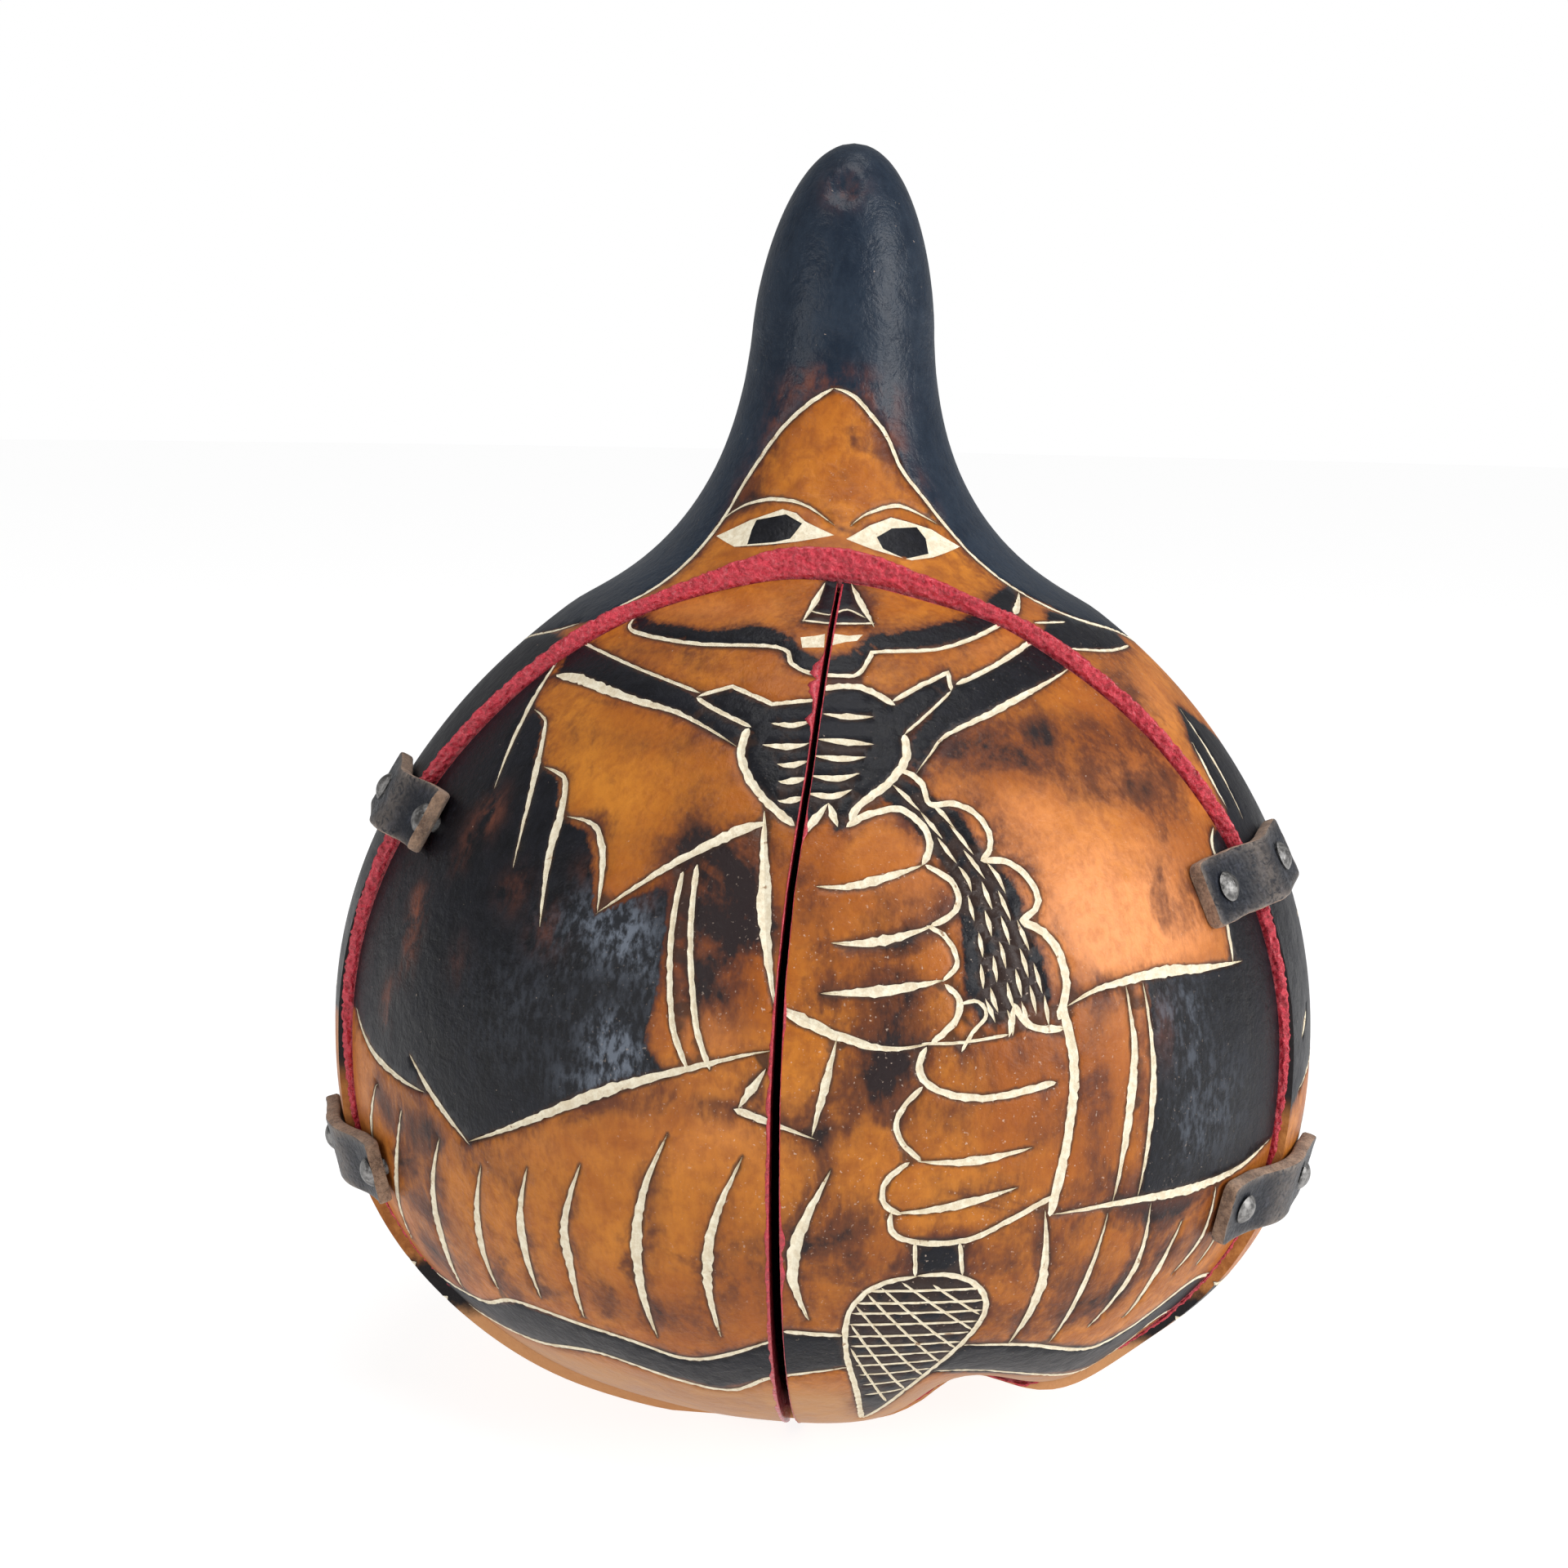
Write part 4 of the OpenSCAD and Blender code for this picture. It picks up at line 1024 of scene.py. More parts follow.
def gourd_material():
    """Burnished gourd skin, burnt in places. Its marks come from the mesh's own attributes."""
    n = Nodes("gourd_skin", Specular_IOR_Level=0.24)
    broad = n.noise(26, 3, 0.55, 0.4)
    middle = n.noise(78, 4, 0.6, 0.9)
    fine = n.noise(360, 4, 0.65, 0.3)
    grain = n.noise(1500, 3, 0.6)
    hair = n.noise(1250, 3, 0.6, 0.2, (1.0, 1.0, 0.4))
    fibre = n.noise(300, 4, 0.65, 0.4, (1.0, 1.0, 0.34))
    # Amber skin, and the bare tan underside
    amber = n.mix(n.step(n.sum((broad, 0.6), (middle, 0.4)), 0.4, 0.62), AMBER_DARK, AMBER)
    amber = n.mix(n.step(n.sum((broad, 0.5), (fine, 0.5)), 0.46, 0.66, 0.0, 0.55), amber, AMBER_SHADE)
    gilt = n.step(n.add(middle, n.times(fibre, 0.5)), 0.35, 0.95)
    amber = n.mix(n.times(n.attribute("gold"), gilt), amber, AMBER_GOLD)
    # Pale patches, partly painted light on the upper right door
    pale_mottle = n.step(n.add(middle, n.times(fine, 0.4)), 0.3, 0.85)
    amber = n.mix(n.times(n.attribute("pale"), pale_mottle), amber, AMBER_PALE_LIT)
    amber = n.mix(n.step(n.sum((fine, 0.55), (hair, 0.45)), 0.4, 0.66, 0.0, 0.34), amber, AMBER_GRAIN)
    tan = n.mix(n.step(n.sum((middle, 0.6), (fine, 0.4)), 0.36, 0.64), TAN_DARK, TAN)
    colour = n.mix(n.attribute("bare"), amber, tan)
    # Brown smoke: in the placed marks, beside the cuts, and in patches of the noise
    smudge = n.sum((middle, 0.7), (fibre, 0.2), (hair, 0.14))
    placed = n.times(n.attribute("scorch"), n.step(smudge, 0.36, 0.72, 0.25, 1.25))
    beside = n.times(n.step(n.attribute("edge"), 0.2, 2.8, 1.0, 0.0), n.step(smudge, 0.44, 0.7, 0.04, 0.5))
    patches = n.step(n.sum((middle, 0.8), (fine, 0.2)), 0.55, 0.78, 0.0, 0.75)
    patches = n.times(patches, n.math("SUBTRACT", 1.0, n.attribute("bare")))
    smoke = n.add(n.add(placed, beside), patches)
    colour = n.mix(n.step(smoke, 0.02, 0.9, 0.0, 0.85), colour, SMOKE)
    colour = n.mix(n.step(smoke, 0.62, 1.7, 0.0, 0.95), colour, SOOT)
    # Fields burnt black, with a haze and a reddish-brown fringe round them
    ragged = n.add(n.sum((middle, 1.0), (fine, 1.0)), n.sum((hair, 1.5), (fibre, 0.6)))
    edge = n.math("SUBTRACT", n.add(n.attribute("char"), ragged), 2.05)
    haze = n.times(n.step(edge, -3.4, -0.2), n.step(smudge, 0.4, 0.66, 0.1, 0.6))
    fringe = n.times(n.step(edge, -1.3, 0.4), 0.85)
    black = n.step(edge, -0.2, 0.45)
    tone = n.step(n.sum((middle, 0.4), (fine, 0.3), (hair, 0.3)), 0.35, 0.65)
    char = n.mix(tone, CHAR_DARK, CHAR)
    # Painted reflection: the neck's black is tinted blue; it is also less rough there
    char = n.mix(n.attribute("slate_sheen"), char, n.mix(tone, SLATE_SHEEN_DARK, SLATE_SHEEN))
    rusty = n.times(n.attribute("rust"), n.step(n.sum((fibre, 0.7), (fine, 0.5)), 0.46, 0.8))
    char = n.mix(rusty, char, CHAR_RUST)
    # Blue-grey patches on the black: partly real scuffs, partly painted sheen
    scraped_sheen = n.step(n.sum((hair, 0.6), (fine, 0.5), (middle, 0.2)), 0.56, 0.8, 0.06, 0.9)
    char = n.mix(n.times(n.attribute("scuff_and_sheen"), scraped_sheen), char, CHAR_SCRAPED_SHEEN)
    dusty = n.step(n.sum((n.noise(900, 3, 0.7), 0.8), (broad, 0.25)), 0.6, 0.75, 0.0, 0.2)
    char = n.mix(dusty, char, CHAR_DUSTY)
    for share, tint in ((haze, FIELD_HAZE), (fringe, FIELD_FRINGE), (black, char)):
        colour = n.mix(share, colour, tint)
    # Dark line along the edge of each cut, and chalk dust in the pores
    line = n.step(n.add(n.attribute("edge"), n.times(n.add(fine, hair), 0.8)), 0.8, 1.4, 0.8, 0.0)
    colour = n.mix(line, colour, CUT_EDGE_DARK)
    dust = n.times(n.attribute("specks"), n.step(n.noise(2100, 2, 0.5), 0.66, 0.76))
    dust = n.math("MAXIMUM", dust, n.step(n.noise(1500, 2, 0.55), 0.745, 0.80, 0.0, 0.7))
    colour = n.mix(n.times(dust, 0.5), colour, CHALK_DUST)
    rough = n.step(n.sum((fine, 0.5), (middle, 0.5)), 0.3, 0.7, 0.38, 0.52)
    rough = n.add(rough, n.sum((n.attribute("scuff_and_sheen"), 0.1), (n.attribute("slate_sheen"), -0.11)))
    height = n.sum((fine, 0.9), (grain, 0.25), (n.noise(150, 3), 0.8))
    return n.finish(colour, rough, height, 0.5, 0.0006)


def chalk_material():
    """Crumbly cream chalk with a few dirty spots."""
    n = Nodes("chalk", Specular_IOR_Level=0.25)
    fine = n.noise(900, 4, 0.7)
    spots = n.step(n.noise(520, 3, 0.6), 0.66, 0.72, 0.0, 0.85)
    colour = n.mix(n.step(fine, 0.35, 0.65), (.70, .60, .43), (.86, .79, .62))
    colour = n.mix(spots, colour, (.30, .17, .09))
    return n.finish(colour, 0.8, n.add(fine, n.times(n.noise(2600, 2), 0.4)), 0.55, 0.0004)


def paint_material():
    """Thick crimson paint that dried in wrinkles."""
    n = Nodes("rim_paint", Coat_Weight=0.5, Coat_Roughness=0.22, Specular_IOR_Level=0.5)
    wrinkle = n.cells(1250, "SMOOTH_F1")
    fine = n.noise(1700, 3, 0.6, 1.4)
    height = n.sum((wrinkle, 1.0), (fine, 0.6))
    colour = n.mix(n.step(n.sum((wrinkle, 0.6), (fine, 0.5)), 0.15, 0.7), (.46, .006, .022), (.74, .040, .072))
    # Painted shade: the paint is darkened behind and beside the door's edge, on the door's sawn edge and deep in the
    # slit
    colour = n.mix(n.times(n.attribute("painted_shade"), 0.65), colour, (.16, .012, .016))
    return n.finish(colour, n.step(fine, 0.3, 0.7, 0.3, 0.45), height, 1.0, 0.0009)


def inside_material():
    """Bare fibrous inside of the gourd."""
    n = Nodes("gourd_inside", Specular_IOR_Level=0.25)
    fibre = n.noise(230, 6, 0.75, 0.3)
    patch = n.noise(45, 3, 0.6)
    colour = n.mix(n.step(n.sum((fibre, 0.6), (patch, 0.4)), 0.35, 0.65), (.20, .115, .058), (.40, .265, .15))
    colour = n.mix(n.step(n.noise(700, 3), 0.6, 0.75, 0.0, 0.5), colour, (.12, .06, .03))
    return n.finish(colour, 0.85, fibre, 0.8, 0.001)


def cut_material():
    """The sawn edge of the wall, stained like the skin beside it: tan, black hem, amber, then black again."""
    n = Nodes("sawn_wall", Specular_IOR_Level=0.3)
    pith = n.noise(800, 3, 0.6)
    split = n.new("ShaderNodeSeparateXYZ")
    n.put(split.inputs[0], n.place)
    height = n.add(split.outputs["Z"], n.times(pith, 0.002))
    colour = n.mix(n.step(pith, 0.3, 0.7), (.30, .10, .022), (.46, .18, .045))
    hem = n.step(height, 0.022, 0.025, 1.0, 0.0)
    sleeves = n.times(n.step(height, 0.049, 0.054), n.step(height, 0.108, 0.114, 1.0, 0.0))
    # The underside's tan is lighter than the skin's tan: painted light on a sawn face that lies in shade
    underside_lit = n.step(height, 0.014, 0.017, 1.0, 0.0)
    for share, tint in ((hem, (.012, .010, .011)), (sleeves, (.012, .010, .011)), (underside_lit, (.60, .30, .13))):
        colour = n.mix(share, colour, tint)
    return n.finish(colour, 0.8, pith, 0.6, 0.0004)


def leather_material():
    """Dyed grain side of the leather: fine creases, pale wear."""
    n = Nodes("leather_grain", Coat_Weight=0.06, Coat_Roughness=0.35, Specular_IOR_Level=0.3)
    crease = n.noise(760, 4, 0.65, 1.6, (1.0, 0.4, 1.0))
    pebble = n.cells(1500, "SMOOTH_F1")
    wear = n.step(n.sum((n.noise(420, 4, 0.7), 0.75), (crease, 0.3)), 0.52, 0.74)
    colour = n.mix(wear, (.007, .009, .015), (.036, .041, .058))
    colour = n.mix(n.times(n.attribute("rub"), n.step(crease, 0.3, 0.6)), colour, (.20, .165, .14))
    return n.finish(colour, n.step(crease, 0.3, 0.7, 0.38, 0.56), n.sum((crease, 0.8), (pebble, 0.7)), 0.6, 0.0005)


def suede_material():
    """Raw flesh side and cut edges of the leather."""
    n = Nodes("leather_suede", Specular_IOR_Level=0.2, Sheen_Weight=0.25, Sheen_Roughness=0.6)
    nap = n.noise(1700, 4, 0.75)
    tone = n.noise(330, 3, 0.6)
    colour = n.mix(n.step(n.sum((nap, 0.55), (tone, 0.45)), 0.36, 0.64), (.15, .085, .052), (.46, .29, .19))
    return n.finish(colour, 0.92, nap, 0.9, 0.0006)


def metal_material(name, dark, bright):
    """Dull worn metal with dark spots."""
    n = Nodes(name, Metallic=0.85, Specular_IOR_Level=0.5)
    rub = n.noise(900, 4, 0.65)
    spots = n.step(n.noise(480, 3, 0.6), 0.5, 0.66)
    colour = n.mix(n.step(rub, 0.35, 0.65), dark, bright)
    colour = n.mix(n.times(spots, 0.6), colour, (.06, .055, .052))
    return n.finish(colour, n.step(rub, 0.3, 0.7, 0.34, 0.55), n.add(rub, spots), 0.4, 0.0003)


GOURD, CHALK_M, PAINT = gourd_material(), chalk_material(), paint_material()
INSIDE, SAWN = inside_material(), cut_material()
LEATHER, SUEDE = leather_material(), suede_material()
RIVET = metal_material("rivet_steel", (.10, .098, .096), (.34, .33, .32))
BURR = metal_material("burr_steel", (.24, .22, .19), (.48, .45, .40))


def marks(turn, z, spots):
    """Sum of soft spots at points of the gourd."""
    r, s = np.interp(s_at_z(z), OUT_S, OUT_R), s_at_z(z)
    total = np.zeros(len(turn))
    for t0, z0, across, up, strength in spots:
        away = (turn - t0 + 180) % 360 - 180
        total += strength * np.exp(-0.5 * ((np.radians(away) * r / across) ** 2 + ((s - s_at_z(z0)) / up) ** 2))
    return total


def paint_marks(obj, shift):
    """Writes the attributes that the gourd's material reads."""
    p = coordinates(obj.data)
    p[:, 1] -= shift
    turn, z = place_of(p)
    z = np.clip(z, 0, TOTAL_H - 0.2)
    q = flat(turn, z)
    char = np.full(len(q), -20.0)
    for polygon in BLACK:
        char = np.maximum(char, signed_distance(q, flat_points(polygon)))
    for iris, eye in zip(IRISES, EYES):
        in_iris, in_eye = (signed_distance(q, flat_points(f)) for f in (iris, eye))
        char = np.maximum(char, np.minimum(2 + in_iris, 4 * in_eye))
    neck = signed_distance(q, flat_points(NECK_FIELD))
    away = near_cuts(q, EDGE_REACH)[1]
    soft = {"scorch": SCORCH, "pale": PALE_AND_LIT, "gold": GOLD, "scuff_and_sheen": SCUFF_AND_SHEEN, "rust": RUST}
    values = {
        "char": np.clip(char, -12, 12),
        "edge": np.clip(away, 0, EDGE_REACH),
        **{name: marks(turn, z, spots) for name, spots in soft.items()},
        "specks": np.clip(marks(turn, z, SPECKS), 0, 1),
        "bare": np.clip((17 - z) / 5, 0, 1),
        "slate_sheen": np.clip((z - 112) / 14, 0, 1) * (neck > -1.0),
    }
    for name, value in values.items():
        write_attribute(obj, name, value)


# ---------------------------------------------------------------- body and doors
def build_shells():
    """Cuts the carved gourd and its chalk into the body and the two doors."""
    whole, chalk = whole_shell(), chalk_form()
    for part in ("body", "left_door", "right_door"):
        bm = whole.copy()
        keep_part(bm, part, "ring", 2)
        node = "body_shell" if part == "body" else part
        shell = make_object(node + "_carved", bm, [GOURD, INSIDE, SAWN])
        paint_marks(shell, 0 if part == "body" else DOOR_SHIFT)
        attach(shell, part)
        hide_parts(node)
        bm = chalk.copy()
        keep_part(bm, part, "lens", 0)
        inlay = make_object(part + "_chalk", bm, [CHALK_M])
        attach(inlay, part)
    whole.free()
    chalk.free()


build_shells()


# ---------------------------------------------------------------- red paint on the sawn edges
def half_rim(y, wall=0.0):
    """Right half of the loop where a plane at depth y cuts the gourd, from the bottom up."""
    r = OUT_R - wall * OUT_NR
    z = OUT_Z - wall * OUT_NZ
    keep = np.nonzero((r > abs(y) + 1e-4) & (z > wall - 0.01))[0]
    x = np.sqrt(r[keep] ** 2 - y * y)
    return x, z[keep], OUT_S[keep]


def rim_loop(y, step):
    """The whole outside loop of a plane cut, evenly spaced: turns and lengths along the outline."""
    x, z, s = half_rim(y)
    x, z, s = np.pad(x, 1), np.pad(z, 1, "edge"), np.pad(s, 1, "edge")
    run = np.concatenate([[0], np.cumsum(np.hypot(np.diff(x), np.diff(z)))])
    count = int(run[-1] / step)
    even = np.linspace(0, run[-1], count + 1)
    turn, s = np.degrees(np.arctan2(np.interp(even, run, x), abs(y))), np.interp(even, run, s)
    return np.concatenate([turn, -turn[-2:0:-1]]), np.concatenate([s, s[-2:0:-1]])


def reach_at(angle, y, wall):
    """Distance from the opening's middle to a cut loop in the directions asked for."""
    x, z, _s = half_rim(y, wall)
    a, d = np.arctan2(x, z - CENTRE_Z), np.hypot(x, z - CENTRE_Z)
    order = np.argsort(a)
    a, d = a[order], d[order]
    return np.interp(np.abs(angle), a, d)


def wrinkles(p, size, seed):
    """Folded noise from 0 to 1 at points, for paint that dried in wrinkles."""
    shift = Vector((seed, 2.3 * seed, -seed))
    places = [Vector(q) for q in p.reshape(-1, 3) / size]
    values = [abs(noise.noise(q + shift)) * 1.4 + 0.35 * abs(noise.noise(q * 2.1 - shift)) for q in places]
    return 1 - np.clip(np.array(values).reshape(p.shape[:-1]), 0, 1)


# How much of the body's edge the brush covered at a height: all of it at the top, and less further down
COVER_Z, COVER = [26, 40, 60, 95], [0.02, 0.2, 0.6, 1.0]
# The paint is at least this wide, from the outer corner to its inner edge and to the line of the doors
MIN_BAND, MIN_LIP = 3.5, 0.6
PAINT_STEPS = 10
FORWARD = np.array([0.0, -1.0, 0.0])


def body_rim_paint():
    """A thick band on the body's sawn edge that wraps a little round its outer corner."""
    turn, s = rim_loop(RIM_Y, 0.42)
    edge, normal = on_gourd(turn, s)
    edge[:, 1] = RIM_Y
    x, z = edge[:, 0] - leaned(edge[:, 2])[:, 0], edge[:, 2] - CENTRE_Z
    angle, outer = np.arctan2(x, z), np.hypot(x, z)
    inner = np.minimum(reach_at(angle, RIM_Y, WALL), outer - MIN_BAND)
    door = np.minimum(reach_at(angle, CUT_Y, 0), outer - MIN_LIP)
    cover = np.interp(edge[:, 2], COVER_Z, COVER)
    back = np.cross(unit(np.roll(edge, -1, 0) - np.roll(edge, 1, 0)), normal)
    back = unit(back * np.sign(back[:, 1])[:, None])
    wander = np.array([noise.noise(Vector(p) / 5) + 0.6 * noise.noise(Vector(p) / 1.6) for p in edge])
    rows, lift, thick, dark = [], [], [], []

    def add_row(away, direction, thickness, painted_darkness, shift=0):
        """One more row of the band, at a distance from the opening's middle."""
        rows.append(edge + ((away - outer) / outer)[:, None] * np.stack([x, 0 * outer, z], 1) + shift)
        lift.append(direction)
        for values, value in ((thick, thickness), (dark, painted_darkness)):
            values.append(np.broadcast_to(value, len(edge)))

    # Painted shade: the band behind the door is dark, and the paint just beside the door's edge a little dark
    for share in (0.0, 0.35, 0.7, 1.0):
        add_row(inner + (door - inner) * share, np.tile(FORWARD, (len(edge), 1)), 0.08, 1.0 if share < 1 else 0.9)
    for k in range(1, PAINT_STEPS + 1):
        share = k / PAINT_STEPS
        tilt = 0.6 * max(0.0, share - 0.6) / 0.4
        swell = np.clip(0.08 + 0.3 * np.minimum(1, 3 * share * (outer - door) * cover / 2), 0, 0.36)
        add_row(door + (outer - door) * share * cover, unit(FORWARD * (1 - tilt) + normal * tilt), swell,
                max(0.0, 0.55 - 2.2 * share))
    for k in (0.35, 0.7, 1.0):
        wrap = k * (0.34 + 0.3 * wander).clip(0.12, 0.8) * cover**3
        add_row(door + (outer - door) * cover, unit(FORWARD * (0.35 * (1 - k)) + normal), 0.22 if k < 1 else 0.04, 0.0,
                back * wrap[:, None])
    p, thick = np.stack(rows, 1), np.stack(thick, 1)
    thick = thick * (0.3 + 1.5 * wrinkles(p, 0.95, 3) ** 1.5)
    thick[:, :4] = 0.08
    paint_layer("body_rim_paint", "body", p, np.stack(lift, 1), thick, np.stack(dark, 1), loop=True)


# Paint smeared from the slit on to each door: an even width, and wider places (width, height, half height)
SMEAR_EVEN = {-1: 0.10, 1: 0.02}
SMEARS = {-1: ((1.5, 113.5, 2.2), (0.8, 108.4, 1.6)), 1: ((0.5, 38, 6), (0.3, 71, 3), (0.35, 95, 1.6))}


def door_paint(part):
    """Paint on a door's sawn edge, and on its side of the slit."""
    side = DOORS[part]
    turn, s = rim_loop(CUT_Y, 0.7)
    if side < 0:
        turn, s = turn[::-1], s[::-1]
    edge, normal = on_gourd(turn, s)
    keep = (edge[:, 0] - slit_x(side, edge[:, 2])) * side > 0.02
    edge, normal = edge[keep], normal[keep]
    shift = leaned(edge[:, 2])[:, 0]
    x, z = edge[:, 0] - shift, edge[:, 2] - CENTRE_Z
    outer = np.hypot(x, z)
    inner = np.minimum(reach_at(np.arctan2(x, z), CUT_Y, WALL), outer - MIN_BAND)
    rows = []
    for share in np.linspace(0, 1, 6):
        d = inner + (outer - inner) * share
        row = np.stack([shift + x * d / outer, np.full(len(x), CUT_Y), CENTRE_Z + z * d / outer], 1)
        row[:, 0] = side * np.maximum(row[:, 0] * side, slit_x(side, row[:, 2]) * side)
        rows.append(row)
    p = np.stack(rows, 1) + np.array([0, DOOR_SHIFT, 0])
    backward = np.broadcast_to(-FORWARD, p.shape)
    # The door's sawn edge is darkened evenly: painted shade
    paint_layer(part + "_edge_paint", part, p, backward, 0.05 + 0.04 * wrinkles(p, 1.3, 8), np.full(p.shape[:2], 0.45))
    # Slit side: across the wall, then a ragged smear out on to the carved face
    span = OUT_S[(OUT_R > abs(CUT_Y) + 0.15)]
    s = np.arange(span[0], span[-1], 0.6)
    z = np.interp(s, OUT_S, OUT_Z)
    r_out = np.interp(s, OUT_S, OUT_R)
    turn = np.degrees(np.arcsin(slit_x(side, z) / r_out))
    outer, normal = on_gourd(turn, s)
    outer[:, 0] = slit_x(side, outer[:, 2])
    depth = np.minimum(WALL * 1.02, (-outer[:, 1] + CUT_Y) / np.maximum(0.25, -normal[:, 1])).clip(0.15)
    rows, lift, thick = [], [], []
    for share in (1.0, 0.66, 0.33, 0.08):
        row = outer - normal * (depth * share)[:, None]
        row[:, 0] = slit_x(side, row[:, 2])
        row[:, 1] = np.minimum(row[:, 1], CUT_Y)
        rows.append(row)
        lift.append(np.tile([-side, 0.0, 0.0], (len(s), 1)))
        thick.append(np.full(len(s), 0.08))
    wander = np.array([noise.noise(Vector((side * 9, v / 3.1, 0))) + 0.7 * noise.noise(Vector((side * 5, v / 1.2, 4)))
                       for v in s])
    smear = SMEAR_EVEN[side] + sum(wide * hump(z, at, tall) for wide, at, tall in SMEARS[side])
    if side < 0:
        smear = smear + 0.28 * np.clip((76 - z) / 12, 0, 1)
    smear = (smear * (1 + 0.9 * wander)).clip(0.02)
    for k in (0.0, 0.5, 1.0):
        local, n = on_gourd(turn + side * np.degrees(k * smear / r_out), s)
        if k == 0:
            local[:, 0] = slit_x(side, local[:, 2])
        rows.append(local)
        lift.append(unit(n + np.array([-side, 0, 0]) * (0.7 if k == 0 else 0)))
        thick.append(np.full(len(s), 0.10 if k < 1 else 0.02))
    p = np.stack(rows, 1) + np.array([0, DOOR_SHIFT, 0])
    thick = np.minimum(np.stack(thick, 1) * (0.6 + 0.8 * wrinkles(p, 1.1, 5)), 0.13)
    # Painted shade: darkest deep in the slit, lighter out along the smear
    dark = np.tile([1, 1, .9, .7, .35, .2, .15], (len(s), 1))
    paint_layer(part + "_slit_paint", part, p, np.stack(lift, 1), thick, dark)


body_rim_paint()
for door_name in DOORS:
    door_paint(door_name)


# ---------------------------------------------------------------- leather straps
STRAP_W, STRAP_T, HALF_L, RIVET_AT = 9.6, 2.15, 14.0, 7.8
FRONT_L = {"left": 10.2, "right": 12.8}
# Each strap's height, tilt in degrees, noise seed, and how far its front end curls up
STRAPS = {("left", "upper"): (91.0, 7.0, 11, 1.3), ("left", "lower"): (39.0, 3.0, 18, 0.5),
          ("right", "upper"): (85.0, 7.0, 29, 0.0), ("right", "lower"): (39.0, 3.0, 36, 0.4)}
# Radius of the corners and of the long edges, and how deep a rivet presses the leather
CORNER, ROUND_EDGE, RIVET_PRESS = 1.2, 0.4, 0.32
# A span each side of the fold, for end points that are not used, and the leather changes over from the body to the door
# within BLEND_HALF
BEND_HALF, BLEND_HALF = 3.0, 4.5
END_STEPS = np.array([0, .12, .35, .7, 1.2])


def surface_frame(z, y, turn):
    """Matrix with local Z outwards and local X to the back, on the right half of the gourd."""
    r = float(np.interp(z, OUT_Z, OUT_R))
    slope = (np.interp(z + 0.5, OUT_Z, OUT_R) - np.interp(z - 0.5, OUT_Z, OUT_R))
    swing = Matrix.Rotation(math.asin(y / r), 4, "Z") @ Matrix.Rotation(math.atan(slope), 4, "Y")
    axes = Matrix(((0, 0, 1, 0), (1, 0, 0, 0), (0, 1, 0, 0), (0, 0, 0, 1)))
    place = Matrix.Translation((math.sqrt(r * r - y * y), y, z))
    return place @ swing @ axes @ Matrix.Rotation(math.radians(turn), 4, "Z")


def strap_outline():
    """Section of a strap: (across, height, whether it is on the grain side)."""
    half, flat_w = STRAP_W / 2, STRAP_W - 2 * ROUND_EDGE
    top = [(-half + ROUND_EDGE + flat_w * i / 24, STRAP_T, 1) for i in range(25)]
    low = [(half - ROUND_EDGE - flat_w * i / 12, 0.0, 0) for i in range(13)]
    right = [(half - 0.12, STRAP_T - 0.1, 1), (half, STRAP_T - 0.45, 0), (half + 0.03, STRAP_T * 0.5, 0),
             (half, 0.35, 0), (half - 0.25, 0.02, 0)]
    return top + right + low + [(-across, height, grain) for across, height, grain in reversed(right)]


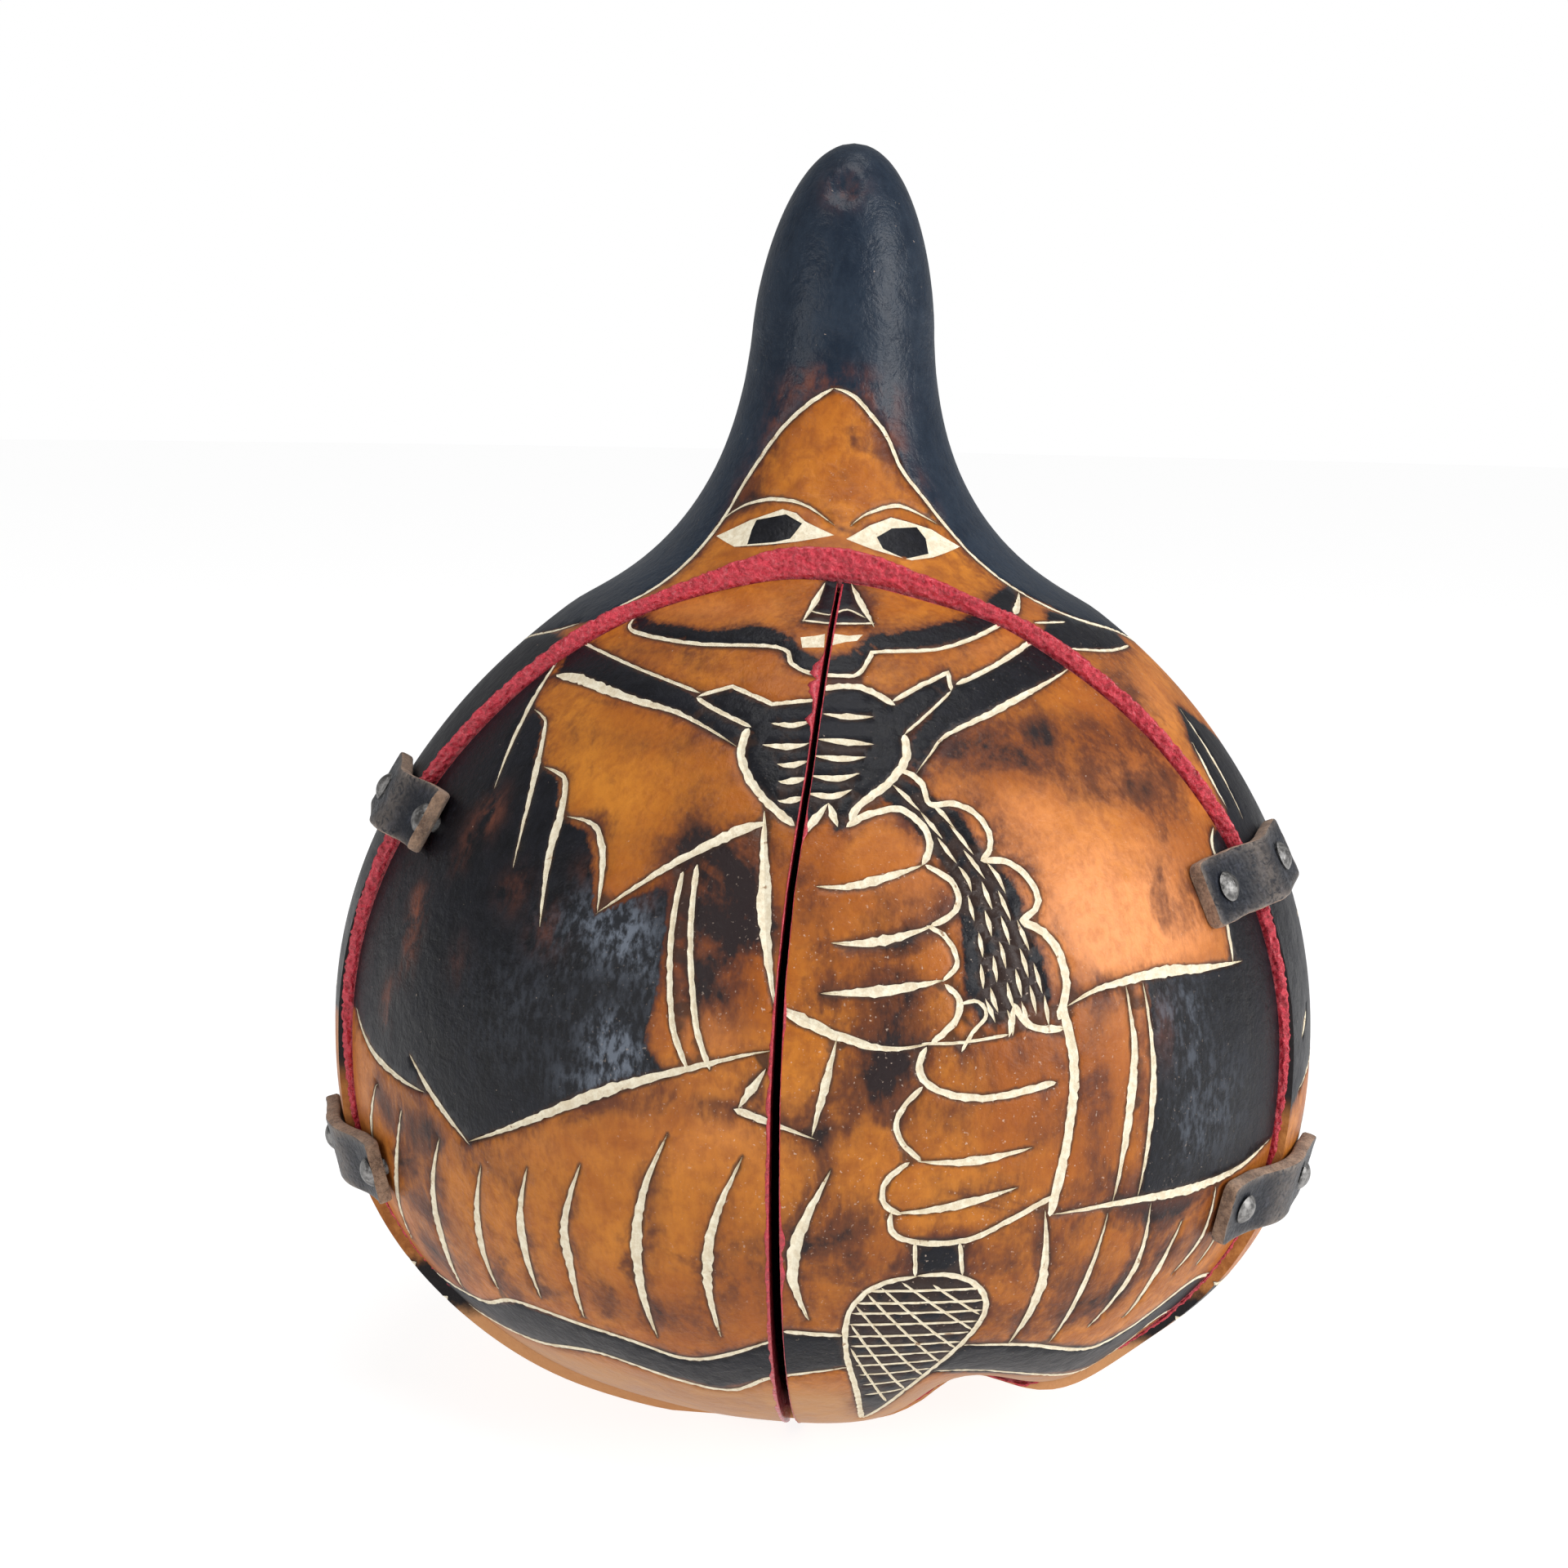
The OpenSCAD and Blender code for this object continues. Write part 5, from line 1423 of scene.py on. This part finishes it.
def strap(side, level):
    """One leather strap from the body to the door, bent over the hinge line."""
    z, turn, seed, curl = STRAPS[side, level]
    rise, run = RIVET_AT * math.sin(math.radians(turn)), RIVET_AT * math.cos(math.radians(turn))
    rear = surface_frame(z + rise, RIM_Y + run, turn)
    front = Matrix.Translation((0, DOOR_SHIFT, 0)) @ surface_frame(z - rise, CUT_Y - run, turn)
    front_l, half_w = FRONT_L[side], STRAP_W / 2
    mirror = -1 if side == "left" else 1
    along = np.concatenate([END_STEPS - front_l, np.arange(1.6 - front_l, 12.5, 0.4), HALF_L - END_STEPS[::-1]])
    loop = strap_outline()
    bm = bmesh.new()
    rub, rings = [], []
    for q in along:
        end = q + front_l if q < 0 else HALF_L - q
        narrow = CORNER - math.sqrt(max(0.0, CORNER**2 - (CORNER - min(end, CORNER)) ** 2))
        t = min(1, max(0, (q + BLEND_HALF) / (2 * BLEND_HALF)))
        past_rivet = max(0.0, (-q - RIVET_AT - 0.3) / (front_l - RIVET_AT - 0.3))
        bulge = 0.55 * math.exp(-((q / 3.6) ** 2)) + curl * past_rivet**1.6
        ring = []
        for y, h, grain in loop:
            wobble = noise.noise(Vector((q / 3.2, y / 3.4, seed)))
            fine = noise.noise(Vector((q / 1.1, y / 1.1, h / 1.1 + seed)))
            across = y * (half_w - narrow) / half_w + (0.16 * wobble + 0.05 * fine)
            height = h + bulge
            if grain:
                height += 0.10 * wobble + 0.03 * fine
                for at in (-RIVET_AT, RIVET_AT):
                    height -= RIVET_PRESS * math.exp(-(((q - at) ** 2 + across**2) / 9.0))
                height -= 0.10 * math.exp(-((end / 0.5) ** 2))
            elif h > 0.1:
                height += 0.05 * fine
            on_door = front @ Vector((q + RIVET_AT, across, height))
            on_body = rear @ Vector((q - RIVET_AT, across, height))
            point = on_door.lerp(on_body, t * t * (3 - 2 * t))
            point.x *= mirror
            ring.append(bm.verts.new(point))
            rub.append(math.exp(-min(end, half_w - abs(across)) / 0.5) + 0.5 * math.exp(-((q / 2.0) ** 2)))
        rings.append(ring)
    for a, b in zip(rings[:-1], rings[1:]):
        for j in range(len(loop)):
            k = (j + 1) % len(loop)
            face = bm.faces.new((a[j], a[k], b[k], b[j]))
            face.smooth = True
            face.material_index = 0 if loop[j][2] and loop[k][2] else 1
    for ring in (rings[0], rings[-1]):
        face = bm.faces.new(ring)
        face.material_index = 1
        bmesh.ops.triangulate(bm, faces=[face])
    bmesh.ops.recalc_face_normals(bm, faces=bm.faces)
    obj = make_object(f"{side}_{level}_strap", bm, [LEATHER, SUEDE])
    obj.data.set_sharp_from_angle(angle=math.radians(50))
    write_attribute(obj, "rub", rub)
    fold = (front @ Vector((RIVET_AT, 0, 1))).lerp(rear @ Vector((-RIVET_AT, 0, 1)), 0.5) * MM
    fold.x *= mirror
    start, end = ((fold.x, (DOOR_Y + reach) * MM, fold.z) for reach in (BEND_HALF, -BEND_HALF))
    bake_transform(obj)
    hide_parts(f"{side}_{level}_strap_rear", f"{side}_{level}_strap_front")


for strap_side, strap_level in STRAPS:
    strap(strap_side, strap_level)

for node_name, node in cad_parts.items():
    if "rivet" in node_name or "burr" in node_name:
        for material_slot in node.material_slots:
            material_slot.material = RIVET if "rivet" in node_name else BURR

# ---------------------------------------------------------------- floor, light and camera
floor_look = Nodes("pale_floor", Specular_IOR_Level=0.1, Emission_Color=(1, 1, 1, 1), Emission_Strength=0.87)
floor_form = bmesh.new()
bmesh.ops.create_circle(floor_form, cap_ends=True, segments=96, radius=4.0)
floor = make_object("floor", floor_form, [floor_look.finish((.3, .3, .3, 1), 0.8)], scale=1)
floor.location.z = -0.0002

world = bpy.data.worlds.new("studio")
bpy.context.scene.world = world
world.use_nodes = True
sky = world.node_tree
backdrop = sky.nodes["Background"]
backdrop.inputs["Color"].default_value = (1, 1, 1, 1)
# The white sky is seen at full strength but lights the gourd with less
seen = sky.nodes.new("ShaderNodeLightPath").outputs["Is Camera Ray"]
strength = sky.nodes.new("ShaderNodeMapRange")
strength.inputs["To Min"].default_value, strength.inputs["To Max"].default_value = 0.32, 1.0
sky.links.new(seen, strength.inputs["Value"])
sky.links.new(strength.outputs["Result"], backdrop.inputs["Strength"])


def softbox(name, place, target, size, power):
    """A round soft light that points at a target."""
    lamp = bpy.data.lights.new(name, "AREA")
    lamp.shape, lamp.size, lamp.energy = "DISK", size, power
    obj = new_object(name, lamp)
    obj.location = place
    obj.rotation_euler = (Vector(target) - Vector(place)).to_track_quat("-Z", "Y").to_euler()


# Place and target in metres, then size and watts
softbox("left", (-0.65, -0.75, 0.35), (0, 0, 0.07), 0.5, 1.8)
softbox("right", (0.95, -0.45, 0.45), (0, 0, 0.09), 0.7, 8.5)
softbox("top", (0.1, -0.25, 1.2), (0, 0, 0.1), 0.8, 6.0)

# The camera that the photograph fits: angles, metres and millimetres of focal length
AZIMUTH, ELEVATION, ROLL = math.radians(4.96), math.radians(8.24), math.radians(1.05)
DISTANCE, SIDEWAYS, TARGET_Z, LENS = 0.47486, -0.00666, 0.09275, 70.93
level = Vector((math.cos(AZIMUTH), math.sin(AZIMUTH), 0))
towards = Vector((math.sin(AZIMUTH), -math.cos(AZIMUTH), 0)) * math.cos(ELEVATION) + Vector((0, 0, math.sin(ELEVATION)))
upright = towards.cross(level)
right = level * math.cos(ROLL) + upright * math.sin(ROLL)
up = upright * math.cos(ROLL) - level * math.sin(ROLL)
camera_data = bpy.data.cameras.new("camera")
camera_data.lens, camera_data.sensor_width = LENS, 36.0
camera_data.clip_start, camera_data.clip_end = 0.01, 20
camera = new_object("camera", camera_data)
place = Vector((0, 0, TARGET_Z)) + towards * DISTANCE + right * SIDEWAYS
camera.matrix_world = Matrix.Translation(place) @ Matrix((right, up, towards)).transposed().to_4x4()
bpy.context.scene.camera = camera
bpy.context.scene.view_settings.view_transform = "Standard"
